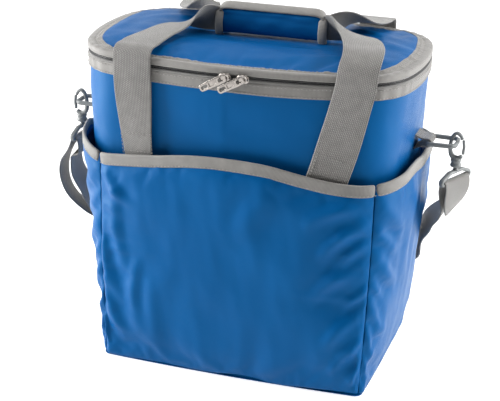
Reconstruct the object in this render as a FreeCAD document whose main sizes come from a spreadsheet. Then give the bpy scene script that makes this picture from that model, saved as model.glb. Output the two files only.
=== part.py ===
"""Insulated cooler bag: sewn tub with wrap-round pockets, zipped lid, wrapped handles, shoulder strap.

Millimetres, +Z up. The origin is the centre of the base, and the front faces -Y.
"""
import FreeCAD
import Part
import Sketcher

import math
import os

from FreeCAD import Placement, Rotation, Vector

doc = FreeCAD.newDocument("cooler_bag")

# ---------------------------------------------------------------- driving dimensions

DIMENSIONS = {
    # the tub, as plan outlines at the floor and at the rim
    "rim_half_width": 160, "rim_half_depth": 92.5, "rim_front_bow": 560, "rim_side_bow": 182,
    "rim_corner": 52, "base_half_width": 130.5, "base_half_depth": 89, "base_front_bow": 1900,
    "base_side_bow": 900, "base_corner": 9, "least_corner": 1.2, "tub_middle_y": -7.5,
    "tub_top": 303, "panel_top": 298,
    # layers of the wall
    "fabric": 1.0, "layer_gap": 0.3, "foam": 6.0, "liner": 0.8, "board_thickness": 2.5,
    # pockets
    "pocket_swell": 9.5, "pocket_cloth": 1.5, "pocket_top": 216, "pocket_floor": 4,
    "seam_gap": 2.0, "binding_tall": 11, "binding_thick": 1.2,
    # rim, zip and lid
    "rim_binding_low": 288.6, "rim_binding_top": 299.5, "tape_top": 301.6, "coil_tall": 1.2,
    "zip_slit": 0.4, "lid_binding_low": 305.2, "lid_binding_top": 310.4, "lid_dome": 3.2,
    "hinge_zone": 69,
    # webbing
    "web_width": 37, "web_thick": 1.6, "leg_x": 91, "leg_right_x": 119, "leg_y": 98.9,
    "handle_pivot": 313.5, "leg_foot": 186, "grip_web_width": 24,
    # grip wrap
    "grip_x": 12, "grip_long": 104, "grip_tall": 29, "grip_low": 314.2, "pad_thick": 4.6,
    # zip sliders and pulls
    "slider_long": 11, "slider_tall": 10, "slider_plate": 1.6, "slider_y": -103.6,
    "slider_z": 302.9, "slider_apart": 17, "bridge_width": 1.8, "bridge_bar": 1.5,
    "pull_long": 27, "pull_width": 7.6, "pull_thick": 1.4, "pull_droop": 29,
    # rings, snap hooks, frames and strap
    "ring_inner_x": 165.5, "ring_outer_x": 191, "ring_z": 229, "ring_half": 12, "ring_wire": 2.0,
    "tab_width": 20, "tab_tall": 16, "eye_half": 6.2, "eye_top": 236.2, "eye_low": 214.8,
    "hook_wire": 2.2, "collar_wide": 5.4, "collar_low": 205.6, "frame_wide": 46, "frame_tall": 13,
    "frame_low": 190, "frame_thick": 5, "frame_slot": 39, "strap_back_y": 100,
    "strap_low": 62, "adjuster_long": 30, "adjuster_wide": 47, "adjuster_thick": 6.4,
}

sheet = doc.addObject("Spreadsheet::Sheet", "dimensions")
for row, (alias, value) in enumerate(DIMENSIONS.items(), start=1):
    sheet.set(f"A{row}", alias)
    sheet.set(f"B{row}", str(value))
    sheet.setAlias(f"B{row}", alias)
doc.recompute()


def dim(alias):
    """A driving dimension, as the sheet holds it."""
    return float(getattr(sheet, alias))


subparts = []


def keep(piece, label):
    """Name a sub-part, which names its file."""
    piece.Label = label
    subparts.append(piece)
    return piece


def bind(piece, **expressions):
    """Bind an object's properties to cells; a plain name is a cell of the sheet."""
    for prop, text in expressions.items():
        piece.setExpression(prop, text)


def cells(text):
    """Write an expression with bare cell names in <> as references to the sheet."""
    return text.replace("<", "dimensions.").replace(">", "")


def soft(label, shape):
    """A sewn or moulded soft piece, whose form no primitive or sketch feature gives."""
    piece = doc.addObject("Part::Feature", label)
    piece.Shape = shape
    piece.Placement = Placement()
    return keep(piece, label)


# ---------------------------------------------------------------- primitives on the sheet

def box(name, length, width, height, at):
    """A box centred on a point, its three sizes given as expressions."""
    piece = doc.addObject("Part::Box", name)
    bind(piece, Length=cells(length), Width=cells(width), Height=cells(height))
    for axis, size, middle in zip("xyz", (length, width, height), at):
        piece.setExpression(f"Placement.Base.{axis}", cells(f"{middle} - ({size}) / 2"))
    return piece


def rod(name, radius, length, at, along):
    """A cylinder centred on a point, along X, Y or Z."""
    piece = doc.addObject("Part::Cylinder", name)
    bind(piece, Radius=cells(radius), Height=cells(length))
    turn = {"x": Rotation(Vector(0, 1, 0), 90), "y": Rotation(Vector(1, 0, 0), -90)}
    piece.Placement = Placement(Vector(), turn.get(along, Rotation()))
    for axis, middle in zip("xyz", at):
        back = f" - ({length}) / 2" if axis == along else ""
        piece.setExpression(f"Placement.Base.{axis}", cells(f"{middle}{back}"))
    return piece


def ball(name, radius, at):
    """A sphere on a point."""
    piece = doc.addObject("Part::Sphere", name)
    bind(piece, Radius=cells(radius))
    for axis, middle in zip("xyz", at):
        piece.setExpression(f"Placement.Base.{axis}", cells(middle))
    return piece


def fused(label, pieces):
    """Several solids joined into one piece."""
    whole = doc.addObject("Part::MultiFuse", label)
    whole.Shapes = pieces
    return whole


def cut(label, base, tool):
    """One solid with another taken out of it."""
    whole = doc.addObject("Part::Cut", label)
    whole.Base = base
    whole.Tool = tool
    return whole


# ---------------------------------------------------------------- the tub's outline

MIDDLE_Y = dim("tub_middle_y")


def arc_outline(half_w, half_d, front_bow, side_bow, corner, z):
    """Four bowed sides joined by four tangent corner arcs, at height z."""
    front_centre = Vector(0, half_d - front_bow, 0)
    side_centre = Vector(half_w - side_bow, 0, 0)
    reach_front = front_bow - corner
    reach_side = side_bow - corner
    between = side_centre - front_centre
    gap = between.Length
    along = (reach_front ** 2 - reach_side ** 2 + gap ** 2) / (2 * gap)
    off = math.sqrt(reach_front ** 2 - along ** 2)
    ahead = between * (1 / gap)
    sideways = Vector(-ahead.y, ahead.x, 0)
    options = [front_centre + ahead * along + sideways * (off * sign) for sign in (1, -1)]
    centre = max(options, key=lambda p: p.x + p.y)
    to_front = (centre - front_centre).normalize()
    to_side = (centre - side_centre).normalize()
    near_front = centre + to_front * corner
    near_side = centre + to_side * corner
    mid_corner = centre + (to_front + to_side).normalize() * corner

    def at(point, sx, sy):
        return Vector(point.x * sx, point.y * sy + MIDDLE_Y, z)

    edges = []
    front, side = Vector(0, half_d, 0), Vector(half_w, 0, 0)
    edges.append(Part.Arc(at(near_front, -1, 1), at(front, 1, 1), at(near_front, 1, 1)))
    edges.append(Part.Arc(at(near_front, 1, 1), at(mid_corner, 1, 1), at(near_side, 1, 1)))
    edges.append(Part.Arc(at(near_side, 1, 1), at(side, 1, 1), at(near_side, 1, -1)))
    edges.append(Part.Arc(at(near_side, 1, -1), at(mid_corner, 1, -1), at(near_front, 1, -1)))
    edges.append(Part.Arc(at(near_front, 1, -1), at(front, 1, -1), at(near_front, -1, -1)))
    edges.append(Part.Arc(at(near_front, -1, -1), at(mid_corner, -1, -1), at(near_side, -1, -1)))
    edges.append(Part.Arc(at(near_side, -1, -1), at(side, -1, 1), at(near_side, -1, 1)))
    edges.append(Part.Arc(at(near_side, -1, 1), at(mid_corner, -1, 1), at(near_front, -1, 1)))
    return Part.Wire([e.toShape() for e in edges])


def base_outline(inset, z):
    """The tub's outline at the floor, moved in by inset."""
    sizes = [dim(f"base_{n}") - inset for n in ("half_width", "half_depth", "front_bow", "side_bow")]
    return arc_outline(*sizes, max(dim("base_corner") - inset, dim("least_corner")), z)


def rim_outline(inset, z):
    """The tub's outline at the rim, moved in by inset."""
    sizes = [dim(f"rim_{n}") for n in ("half_width", "half_depth", "front_bow", "side_bow", "corner")]
    return arc_outline(*[s - inset for s in sizes], z)


def tub_solid(inset, rim_inset=None):
    """The full-height solid of the tub, moved in by inset all round."""
    upper = inset if rim_inset is None else rim_inset
    return Part.makeLoft([base_outline(inset, 0), rim_outline(upper, dim("tub_top"))], True, True)


def rim_solid(inset, low, high):
    """A straight slab with the rim's outline."""
    return Part.Face(rim_outline(inset, low)).extrude(Vector(0, 0, high - low))


BIG = 700


def slab(low, high):
    """Everything between two heights."""
    return Part.makeBox(BIG, BIG, high - low, Vector(-BIG / 2, -BIG / 2, low))


def wedge(facing):
    """The quarter of space that one panel faces, split along the corner seams."""
    slope = (dim("rim_half_depth") - dim("rim_corner") * 0.38) / (dim("rim_half_width") - dim("rim_corner") * 0.45)
    far = BIG / 2
    corners = {
        "front": [(-far, -far * slope), (far, -far * slope)],
        "back": [(far, far * slope), (-far, far * slope)],
        "left": [(-far, far * slope), (-far, -far * slope)],
        "right": [(far, -far * slope), (far, far * slope)],
    }[facing]
    points = [Vector(0, MIDDLE_Y, -1)] + [Vector(x, y + MIDDLE_Y, -1) for x, y in corners]
    return Part.Face(Part.makePolygon(points + points[:1])).extrude(Vector(0, 0, BIG))


FACINGS = ("front", "back", "left", "right")

# ---------------------------------------------------------------- outer panels, foam, liner, base

foam_out = dim("fabric") + dim("layer_gap") + 1.0
foam_in = foam_out + dim("foam")
liner_out = foam_in + dim("layer_gap")
liner_in = liner_out + dim("liner")
board_low = dim("fabric") + dim("layer_gap")
foam_floor_low = board_low + dim("board_thickness") + dim("layer_gap")
foam_floor_top = foam_floor_low + dim("foam")
liner_floor = foam_floor_top + dim("layer_gap")

skin = tub_solid(0).cut(tub_solid(dim("fabric")))
foam_wall = tub_solid(foam_out).cut(tub_solid(foam_in))
for facing in FACINGS:
    panel = skin.common(slab(dim("fabric"), dim("panel_top"))).common(wedge(facing))
    soft(f"outer_{facing}_panel", panel)
for facing in FACINGS:
    wall = foam_wall.common(slab(foam_floor_low, dim("tub_top") - 0.4)).common(wedge(facing))
    soft(f"foam_{facing}_wall", wall)

soft("outer_base_panel", tub_solid(0).common(slab(0, dim("fabric") - 0.01)))
soft("foam_base", tub_solid(liner_out).common(slab(foam_floor_low, foam_floor_top)))
liner_shell = tub_solid(liner_out).common(slab(liner_floor, dim("tub_top") - 0.4))
liner_hollow = tub_solid(liner_in).common(slab(liner_floor + dim("liner"), BIG))
soft("liner_tub", liner_shell.cut(liner_hollow))


def body_with_pad(label, half_x, half_y, corner, length, at, turn=Rotation(), holes=()):
    """A PartDesign plate: a rounded rectangle padded along the sketch's normal."""
    body = doc.addObject("PartDesign::Body", label)
    sketch = body.newObject("Sketcher::SketchObject", f"{label}_outline")
    plane = next(f for f in body.Origin.OriginFeatures if f.Role == "XY_Plane")
    sketch.AttachmentSupport = (plane, "")
    sketch.MapMode = "FlatFace"
    rounded_rectangle(sketch, half_x, half_y, corner)
    for centre_x, hole_x, hole_y in holes:
        plain_rectangle(sketch, centre_x, hole_x, hole_y)
    pad = body.newObject("PartDesign::Pad", f"{label}_pad")
    pad.Profile = sketch
    pad.setExpression("Length", cells(length))
    pad.Midplane = True
    body.Placement = Placement(at, turn)
    return keep(body, label)


def constrain(sketch, kind, name, text, *where):
    """Add a dimension to a sketch and bind it to the sheet."""
    index = sketch.addConstraint(Sketcher.Constraint(kind, *where))
    sketch.renameConstraint(index, name)
    sketch.setExpression(f"Constraints.{name}", cells(text))


def rounded_rectangle(sketch, half_x, half_y, corner):
    """Four lines and four tangent arcs about the sketch's origin, sized from the sheet."""
    hx, hy, r = value(half_x), value(half_y), value(corner)
    lines = [((-hx + r, -hy), (hx - r, -hy)), ((hx, -hy + r), (hx, hy - r)),
             ((hx - r, hy), (-hx + r, hy)), ((-hx, hy - r), (-hx, -hy + r))]
    centres = [(hx - r, -hy + r), (hx - r, hy - r), (-hx + r, hy - r), (-hx + r, -hy + r)]
    for (x0, y0), (x1, y1) in lines:
        sketch.addGeometry(Part.LineSegment(Vector(x0, y0, 0), Vector(x1, y1, 0)))
    for k, (cx, cy) in enumerate(centres):
        circle = Part.Circle(Vector(cx, cy, 0), Vector(0, 0, 1), r)
        start = math.pi * (1.5 + 0.5 * k)
        sketch.addGeometry(Part.ArcOfCircle(circle, start, start + math.pi / 2))
    for k in range(4):
        sketch.addConstraint(Sketcher.Constraint("Tangent", k, 2, 4 + k, 1))
        sketch.addConstraint(Sketcher.Constraint("Tangent", 4 + k, 2, (k + 1) % 4, 1))
        kind = "Horizontal" if k % 2 == 0 else "Vertical"
        sketch.addConstraint(Sketcher.Constraint(kind, k))
    for k in range(1, 4):
        sketch.addConstraint(Sketcher.Constraint("Equal", 4, 4 + k))
    constrain(sketch, "Radius", "corner", corner, 4, r)
    constrain(sketch, "DistanceX", "right", half_x, -1, 1, 1, 1, hx)
    constrain(sketch, "DistanceX", "left", half_x, 3, 1, -1, 1, hx)
    constrain(sketch, "DistanceY", "back", half_y, -1, 1, 2, 1, hy)
    constrain(sketch, "DistanceY", "front", half_y, 0, 1, -1, 1, hy)


def plain_rectangle(sketch, centre_x, size_x, size_y):
    """A rectangular hole on the sketch's X axis."""
    first = sketch.GeometryCount
    cx, hx, hy = value(centre_x), value(size_x) / 2, value(size_y) / 2
    corners = [(cx - hx, -hy), (cx + hx, -hy), (cx + hx, hy), (cx - hx, hy)]
    for (x0, y0), (x1, y1) in zip(corners, corners[1:] + corners[:1]):
        sketch.addGeometry(Part.LineSegment(Vector(x0, y0, 0), Vector(x1, y1, 0)))
    for k in range(4):
        sketch.addConstraint(Sketcher.Constraint("Coincident", first + k, 2, first + (k + 1) % 4, 1))
        kind = "Horizontal" if k % 2 == 0 else "Vertical"
        sketch.addConstraint(Sketcher.Constraint(kind, first + k))
    name = f"hole{first}"
    constrain(sketch, "DistanceX", f"{name}_left", f"{centre_x} - ({size_x}) / 2", -1, 1, first, 1, cx - hx)
    constrain(sketch, "DistanceX", f"{name}_long", size_x, first, 1, first, 2, 2 * hx)
    constrain(sketch, "DistanceY", f"{name}_tall", size_y, first + 1, 1, first + 1, 2, 2 * hy)
    constrain(sketch, "DistanceY", f"{name}_low", f"({size_y}) / 2", first, 1, -1, 1, hy)


def value(text):
    """What an expression in cell names is worth, for a sketch's first geometry."""
    for alias in sorted(DIMENSIONS, key=len, reverse=True):
        text = text.replace(f"<{alias}>", str(dim(alias)))
    probe = doc.addObject("App::FeaturePython", "probe")
    probe.addProperty("App::PropertyFloat", "Worth")
    probe.setExpression("Worth", text)
    doc.recompute()
    worth = probe.Worth
    doc.removeObject(probe.Name)
    return worth


board_middle = board_low + dim("board_thickness") / 2
body_with_pad("base_board", "<base_half_width> - 6", "<base_half_depth> - 6", "<base_corner>",
              "<board_thickness>", Vector(0, MIDDLE_Y, board_middle))

# ---------------------------------------------------------------- wrap-round pockets

swell = dim("pocket_swell")
cloth = dim("pocket_cloth")
pocket_outer = tub_solid(-3, -swell - 3)
pocket_inner = tub_solid(-3 + cloth, -swell - 3 + cloth)
pocket_wall = pocket_outer.cut(pocket_inner)
pocket_top = dim("pocket_top")
binding_low = pocket_top - dim("binding_tall")
thick = dim("binding_thick")
binding_wall = tub_solid(-3 - thick, -swell - 3 - thick).cut(tub_solid(-3 - 0.1, -swell - 3 - 0.1))
seam = dim("seam_gap")


def pocket_side(facing):
    """The quarter of space of one pocket, short of the corner seams."""
    full = wedge(facing)
    step = {"front": (0, -seam), "left": (-seam, 0), "right": (seam, 0)}[facing]
    return full.translated(Vector(step[0], step[1], 0))


for facing in ("front", "left", "right"):
    zone = pocket_side(facing)
    sheet_wall = pocket_wall.common(slab(dim("pocket_floor"), pocket_top)).common(zone)
    soft(f"pocket_{facing}_panel", sheet_wall)
    trim = binding_wall.common(slab(binding_low, pocket_top + thick)).common(zone)
    soft(f"pocket_{facing}_binding", trim)

# ---------------------------------------------------------------- rim, zip and lid hinge strip

rim_band = rim_solid(-1.6, dim("rim_binding_low"), dim("rim_binding_top"))
rim_hole = rim_solid(-0.3, dim("rim_binding_low") - 1, dim("rim_binding_top") + 1)
soft("rim_binding", rim_band.cut(rim_hole))

zone_y = dim("hinge_zone")
zip_run = Part.makeBox(BIG, BIG / 2 + zone_y, BIG, Vector(-BIG / 2, -BIG / 2, 0))
hinge_run = Part.makeBox(BIG, BIG / 2, BIG, Vector(-BIG / 2, zone_y + 1, 0))


def rim_ring(inset_out, inset_in, low, high):
    """A standing ring that follows the rim."""
    return rim_solid(inset_out, low, high).cut(rim_solid(inset_in, low - 1, high + 1))


coil_low = dim("tape_top") + 0.1
coil_top = coil_low + dim("coil_tall")
upper_coil_low = coil_top + dim("zip_slit")
upper_coil_top = upper_coil_low + dim("coil_tall")
soft("zip_tape_lower", rim_ring(0.1, 1.1, dim("panel_top") + 0.2, dim("tape_top")).common(zip_run))
soft("zip_coil_lower", rim_ring(-0.3, 1.1, coil_low, coil_top).common(zip_run))
hinge_strip = rim_ring(0.1, 1.1, dim("panel_top") + 0.2, dim("lid_binding_low") - 0.9)
soft("lid_hinge_strip", hinge_strip.common(hinge_run))

# ---------------------------------------------------------------- lid

lid_top = dim("lid_binding_top")
lid_under = upper_coil_low + 0.4
soft("zip_coil_upper", rim_ring(-0.3, 1.1, upper_coil_low, upper_coil_top).common(zip_run))
soft("zip_tape_upper", rim_ring(0.1, 1.1, upper_coil_top + 0.1, lid_top - 1.6).common(zip_run))
soft("lid_binding", rim_ring(-1.6, -0.3, dim("lid_binding_low"), lid_top))


def dome(inset, drop):
    """The lid's crowned top, down to its underside, lowered by drop."""
    rise = dim("lid_dome")
    sections = [(1.4, -6.0), (1.4, -1.0), (9, 0.4), (34, rise * 0.8), (64, rise)]
    wires = [rim_outline(s + inset, lid_top + z - drop) for s, z in sections if s + inset < 50]
    wires.append(rim_outline(49.5, lid_top + rise - drop))
    return Part.makeLoft(wires, True, True)


lid_cut = slab(lid_under + 1.2, BIG)
lid_skin = dome(0, 0).common(lid_cut)
lid_core = dome(0.9, 1.2).common(lid_cut)
soft("lid_panel", lid_skin.cut(dome(0.8, 1.0).common(slab(0, BIG))).common(slab(lid_top - 4.4, BIG)))
soft("lid_foam", lid_core)
soft("lid_liner", rim_solid(2.0, lid_under, lid_under + 1.0))

# ---------------------------------------------------------------- webbing


def ribbon(stations, thickness):
    """Webbing through stations of centre, width direction and width; it faces square to its run."""
    centres = [Vector(*centre) for centre, across, width in stations]
    wires = []
    for k, (centre, across, width) in enumerate(stations):
        run = (centres[min(k + 1, len(centres) - 1)] - centres[max(k - 1, 0)]).normalize()
        side = Vector(*across)
        side = (side - run * side.dot(run)).normalize()
        face = run.cross(side) * (thickness / 2)
        side = side * (width / 2)
        middle = centres[k]
        corners = [middle - side - face, middle + side - face, middle + side + face, middle - side + face]
        wires.append(Part.makePolygon(corners + corners[:1]))
    return Part.makeLoft(wires, True, True)


web = dim("web_width")
web_thick = dim("web_thick")
pivot = dim("handle_pivot")
leg_y = dim("leg_y")
rear_y = leg_y + 2 * MIDDLE_Y
RIGHT, LEFT, BACK, UP = (1, 0, 0), (-1, 0, 0), (0, 1, 0), (0, 0, 1)


def leg(label, facing, foot_x, head_x):
    """A handle's leg: sewn flat on the bowed panel, then standing free past the rim."""
    lean = head_x - foot_x
    along_bow = (1, -facing * math.copysign(0.12, foot_x), 0)
    head_y = -leg_y if facing < 0 else rear_y
    stations = [
        ((foot_x, head_y - facing * 2.5, dim("leg_foot")), along_bow, web),
        ((foot_x + lean * 0.25, head_y - facing * 2.0, 222), along_bow, web),
        ((foot_x + lean * 0.8, head_y + facing * 1.2, 284), RIGHT, web),
        ((head_x, head_y, pivot - 1.2), RIGHT, web),
    ]
    return soft(label, ribbon(stations, web_thick))


left_x, right_x = -dim("leg_x"), dim("leg_right_x")
leg("front_handle_leg_left", -1, left_x + 6, left_x)
leg("front_handle_leg_right", -1, right_x - 29, right_x)
leg("rear_handle_leg_left", 1, left_x + 3, left_x)
leg("rear_handle_leg_right", 1, -left_x - 3, -left_x)

grip_x = dim("grip_x")
grip_end = dim("grip_long") / 2
grip_mid = dim("grip_low") + dim("grip_tall") / 2
narrow = dim("grip_web_width")
front_web_y, rear_web_y = -4.6, -1.4

soft("front_handle_strap", ribbon([
    ((left_x, -leg_y, pivot + 1.8), RIGHT, web),
    ((left_x + 1, -leg_y + 4, pivot + 5.4), RIGHT, web),
    ((left_x + 5, -62, 322), RIGHT, web),
    ((left_x + 20, -30, 327), (0.85, -0.5, 0.2), web),
    ((grip_x - grip_end - 10, -9, grip_mid + 1), (0.2, -0.3, 0.9), narrow + 5),
    ((grip_x - grip_end, front_web_y, grip_mid), UP, narrow),
    ((grip_x + grip_end, front_web_y, grip_mid), UP, narrow),
    ((grip_x + grip_end + 12, -10, grip_mid + 2), (-0.2, -0.3, 0.9), narrow + 5),
    ((100, -34, 333), (-0.75, -0.5, 0.3), web),
    ((right_x + 1, -70, 332), LEFT, web),
    ((right_x + 1, -leg_y + 4, 325), LEFT, web),
    ((right_x, -leg_y, pivot + 1.8), LEFT, web),
], web_thick))

soft("rear_handle_strap", ribbon([
    ((left_x, rear_y, pivot + 1.8), LEFT, web),
    ((left_x + 1, rear_y - 4, pivot + 5.4), LEFT, web),
    ((left_x + 4, 50, 321), LEFT, web),
    ((left_x + 19, 24, 326), (-0.85, -0.5, 0.2), web),
    ((grip_x - grip_end - 10, 5, grip_mid), (-0.2, -0.3, 0.9), narrow + 5),
    ((grip_x - grip_end, rear_web_y, grip_mid), UP, narrow),
    ((grip_x + grip_end, rear_web_y, grip_mid), UP, narrow),
    ((grip_x + grip_end + 10, 5, grip_mid), (0.2, -0.3, 0.9), narrow + 5),
    ((-left_x - 3, 26, 326), (0.85, -0.5, 0.2), web),
    ((-left_x + 2, 52, 321), RIGHT, web),
    ((-left_x, rear_y - 4, pivot + 5.4), RIGHT, web),
    ((-left_x, rear_y, pivot + 1.8), RIGHT, web),
], web_thick))

# ---------------------------------------------------------------- grip wrap

stand_up = Rotation(Vector(1, 0, 0), 90)
pad = dim("pad_thick")
back_pad_y = rear_web_y + web_thick / 2 + 0.4 + pad / 2
front_pad_y = front_web_y - web_thick / 2 - 1.4 - pad / 2
body_with_pad("grip_back_pad", "<grip_long> / 2", "<grip_tall> / 2", "6", "<pad_thick>",
              Vector(grip_x, back_pad_y, grip_mid), stand_up)
body_with_pad("grip_front_pad", "<grip_long> / 2", "<grip_tall> / 2", "6", "<pad_thick>",
              Vector(grip_x, front_pad_y, grip_mid), stand_up)
hook_strip_y = front_pad_y + pad / 2 + 0.45
keep(box("grip_hook_strip", "<grip_long> - 24", "0.8", "9",
         ("<grip_x>", f"{hook_strip_y:.3f}", "<grip_low> + 6")), "grip_hook_strip")
keep(box("grip_loop_strip", "<grip_long> - 24", "0.3", "9",
         ("<grip_x>", f"{hook_strip_y + 0.65:.3f}", "<grip_low> + 6")), "grip_loop_strip")

# ---------------------------------------------------------------- zip sliders and pull tabs

for side, centre in (("left", "0"), ("right", "<slider_apart>")):
    front = "<slider_y>"
    plate = box(f"{side}_plate", "<slider_long>", "<slider_plate>", "<slider_tall>",
                (centre, f"{front} + <slider_plate> / 2", "<slider_z>"))
    bar = box(f"{side}_bridge_bar", "8", "<bridge_bar>", "<bridge_width>",
              (centre, f"{front} - 3.75", "<slider_z>"))
    feet = [box(f"{side}_bridge_foot_{n}", "1.4", "3.2", "<bridge_width>",
                (f"{centre} + {sign} * 3.3", f"{front} - 1.5", "<slider_z>"))
            for n, sign in enumerate((-1, 1))]
    keep(fused(f"zip_slider_{side}", [plate, bar] + feet), f"zip_slider_{side}")

droop = math.radians(dim("pull_droop"))
pull_y = dim("slider_y") - 1.5
pull_reach = dim("pull_long") / 2 - 1.2
for side, centre_x in (("left", 0.0), ("right", dim("slider_apart"))):
    middle = Vector(centre_x - pull_reach * math.cos(droop), pull_y,
                    dim("slider_z") - pull_reach * math.sin(droop))
    lean = Rotation(Vector(0, 1, 0), -dim("pull_droop"))
    body_with_pad(f"pull_tab_{side}", "<pull_long> / 2", "<pull_width> / 2", "1.6", "<pull_thick>",
                  middle, lean.multiply(stand_up),
                  holes=(("<pull_long> / 2 - 5.0", "5.2", "5.8"), ("6 - <pull_long> / 2", "6", "3")))

# ---------------------------------------------------------------- rings, snap hooks and frames

for side, sign in (("left", "-1"), ("right", "1")):
    inner = f"{sign} * <ring_inner_x>"
    outer = f"{sign} * <ring_outer_x>"
    between = f"{sign} * (<ring_inner_x> + <ring_outer_x>) / 2"
    bars = [rod(f"{side}_ring_inner", "<ring_wire>", "<ring_half> * 2", (inner, "0", "<ring_z>"), "y"),
            rod(f"{side}_ring_outer", "<ring_wire>", "<ring_half> * 2", (outer, "0", "<ring_z>"), "y")]
    for n, end in enumerate(("-1", "1")):
        bars.append(rod(f"{side}_ring_side_{n}", "<ring_wire>", "<ring_outer_x> - <ring_inner_x>",
                        (between, f"{end} * <ring_half>", "<ring_z>"), "x"))
        for m, x in enumerate((inner, outer)):
            bars.append(ball(f"{side}_ring_corner_{n}{m}", "<ring_wire>",
                             (x, f"{end} * <ring_half>", "<ring_z>")))
    keep(fused(f"d_ring_{side}", bars), f"d_ring_{side}")

    tab = box(f"{side}_tab_block", "13", "<tab_width>", "<tab_tall>",
              (f"{sign} * (<ring_inner_x> - 2.4)", "0", "<ring_z>"))
    tunnel = rod(f"{side}_tab_tunnel", "<ring_wire> + 0.4", "60", (inner, "0", "<ring_z>"), "y")
    keep(cut(f"ring_tab_{side}", tab, tunnel), f"ring_tab_{side}")

    hook_z = "(<eye_top> + <eye_low>) / 2"
    half_tall = "(<eye_top> - <eye_low>) / 2 - <eye_half>"
    arches = []
    for name, turn, end in (("top", 180, "1"), ("low", 0, "-1")):
        arch = doc.addObject("Part::Torus", f"{side}_eye_{name}")
        bind(arch, Radius1=cells("<eye_half>"), Radius2=cells("<hook_wire>"))
        arch.Angle3 = 180
        upright = Rotation(Vector(1, 0, 0), 90 if name == "top" else -90)
        arch.Placement = Placement(Vector(), upright)
        for axis, text in zip("xyz", (outer, "0", f"{hook_z} + {end} * ({half_tall})")):
            arch.setExpression(f"Placement.Base.{axis}", cells(text))
        arches.append(arch)
    spine = rod(f"{side}_hook_spine", "<hook_wire>", f"2 * ({half_tall})",
                (f"{outer} - {sign} * <eye_half>", "0", hook_z), "z")
    collar = rod(f"{side}_hook_collar", "<collar_wide>", "<eye_low> - <collar_low>",
                 (outer, "0", "(<eye_low> + <collar_low>) / 2"), "z")
    hook = fused(f"{side}_hook_body", arches + [spine, collar])
    socket = rod(f"{side}_hook_socket", "2.1", "6", (outer, "0", "<collar_low> + 2.6"), "z")
    keep(cut(f"snap_hook_{side}", hook, socket), f"snap_hook_{side}")

    gate = rod(f"hook_gate_{side}", "<hook_wire> - 0.3", f"2 * ({half_tall}) - 1.2",
               (f"{outer} + {sign} * <eye_half>", "0", f"{hook_z} + 0.15"), "z")
    keep(gate, f"hook_gate_{side}")

    frame_mid = "<frame_low> + <frame_tall> / 2"
    plate = box(f"{side}_frame_plate", "<frame_thick>", "<frame_wide>", "<frame_tall>",
                (outer, "0", frame_mid))
    slot = box(f"{side}_frame_slot", "20", "<frame_slot>", "5.6", (outer, "0", f"{frame_mid} - 0.4"))
    post = rod(f"{side}_frame_post", "2.0", "5.6", (outer, "0", "<frame_low> + <frame_tall> + 2.3"), "z")
    keep(fused(f"strap_frame_{side}", [cut(f"{side}_frame_ring", plate, slot), post]),
         f"strap_frame_{side}")

# ---------------------------------------------------------------- shoulder strap and adjuster

back_y = dim("strap_back_y")
low = dim("strap_low")
bar_x = dim("ring_outer_x")
strap_end = dim("frame_low") - 3.4
soft("shoulder_strap", ribbon([
    ((-bar_x, 0, strap_end), BACK, web),
    ((-bar_x - 18, 0, 172), BACK, web),
    ((-bar_x - 23, 1, 153), BACK, web),
    ((-bar_x - 21, 4, 133), BACK, web),
    ((-bar_x - 11, 14, 110), (0, 0.93, 0.37), web),
    ((-184, 42, 90), (0, 0.75, 0.66), web),
    ((-160, 78, 77), (0.1, 0.35, 0.93), web),
    ((-124, back_y, low + 8), UP, web),
    ((-84, back_y + 3, low), UP, web),
    ((84, back_y + 3, low), UP, web),
    ((118, back_y - 1, low + 8), UP, web),
    ((145, 82, 84), (-0.1, 0.35, 0.93), web),
    ((161, 54, 113), (0, 0.62, 0.78), web),
    ((174, 30, 139), (0, 0.9, 0.43), web),
    ((bar_x + 1, 4, 166), BACK, web),
    ((bar_x, 0, strap_end), BACK, web),
], web_thick))

adjuster_at = ("30", f"{back_y + 3}", "<strap_low>")
plate = box("adjuster_plate", "<adjuster_long>", "<adjuster_thick>", "<adjuster_wide>", adjuster_at)
slit = box("adjuster_slit", "60", "<web_thick> + 1.2", "<web_width> + 2", adjuster_at)
keep(cut("strap_adjuster", plate, slit), "strap_adjuster")

# ---------------------------------------------------------------- checks and files

doc.recompute()
for piece in doc.Objects:
    if "Invalid" in piece.State or "Error" in piece.State:
        raise RuntimeError(f"{piece.Label} did not rebuild: {piece.State}")
for piece in subparts:
    if piece.Shape.isNull() or not piece.Shape.isValid() or not piece.Shape.Solids:
        raise RuntimeError(f"{piece.Label} has no sound solid")

os.makedirs("parts", exist_ok=True)
for piece in subparts:
    piece.Shape.exportStep(f"parts/{piece.Label}.step")
    extent = piece.Shape.BoundBox
    print(f"{piece.Label:26s} solids {len(piece.Shape.Solids)}  volume {piece.Shape.Volume:10.1f}  "
          f"x {extent.XMin:7.1f}..{extent.XMax:6.1f}  y {extent.YMin:7.1f}..{extent.YMax:6.1f}  "
          f"z {extent.ZMin:6.1f}..{extent.ZMax:6.1f}")
print(len(subparts), "sub-parts")
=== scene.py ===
import math

import bmesh
import bpy
import numpy as np
from mathutils import Matrix, Quaternion, Vector
from mathutils.bvhtree import BVHTree


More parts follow.
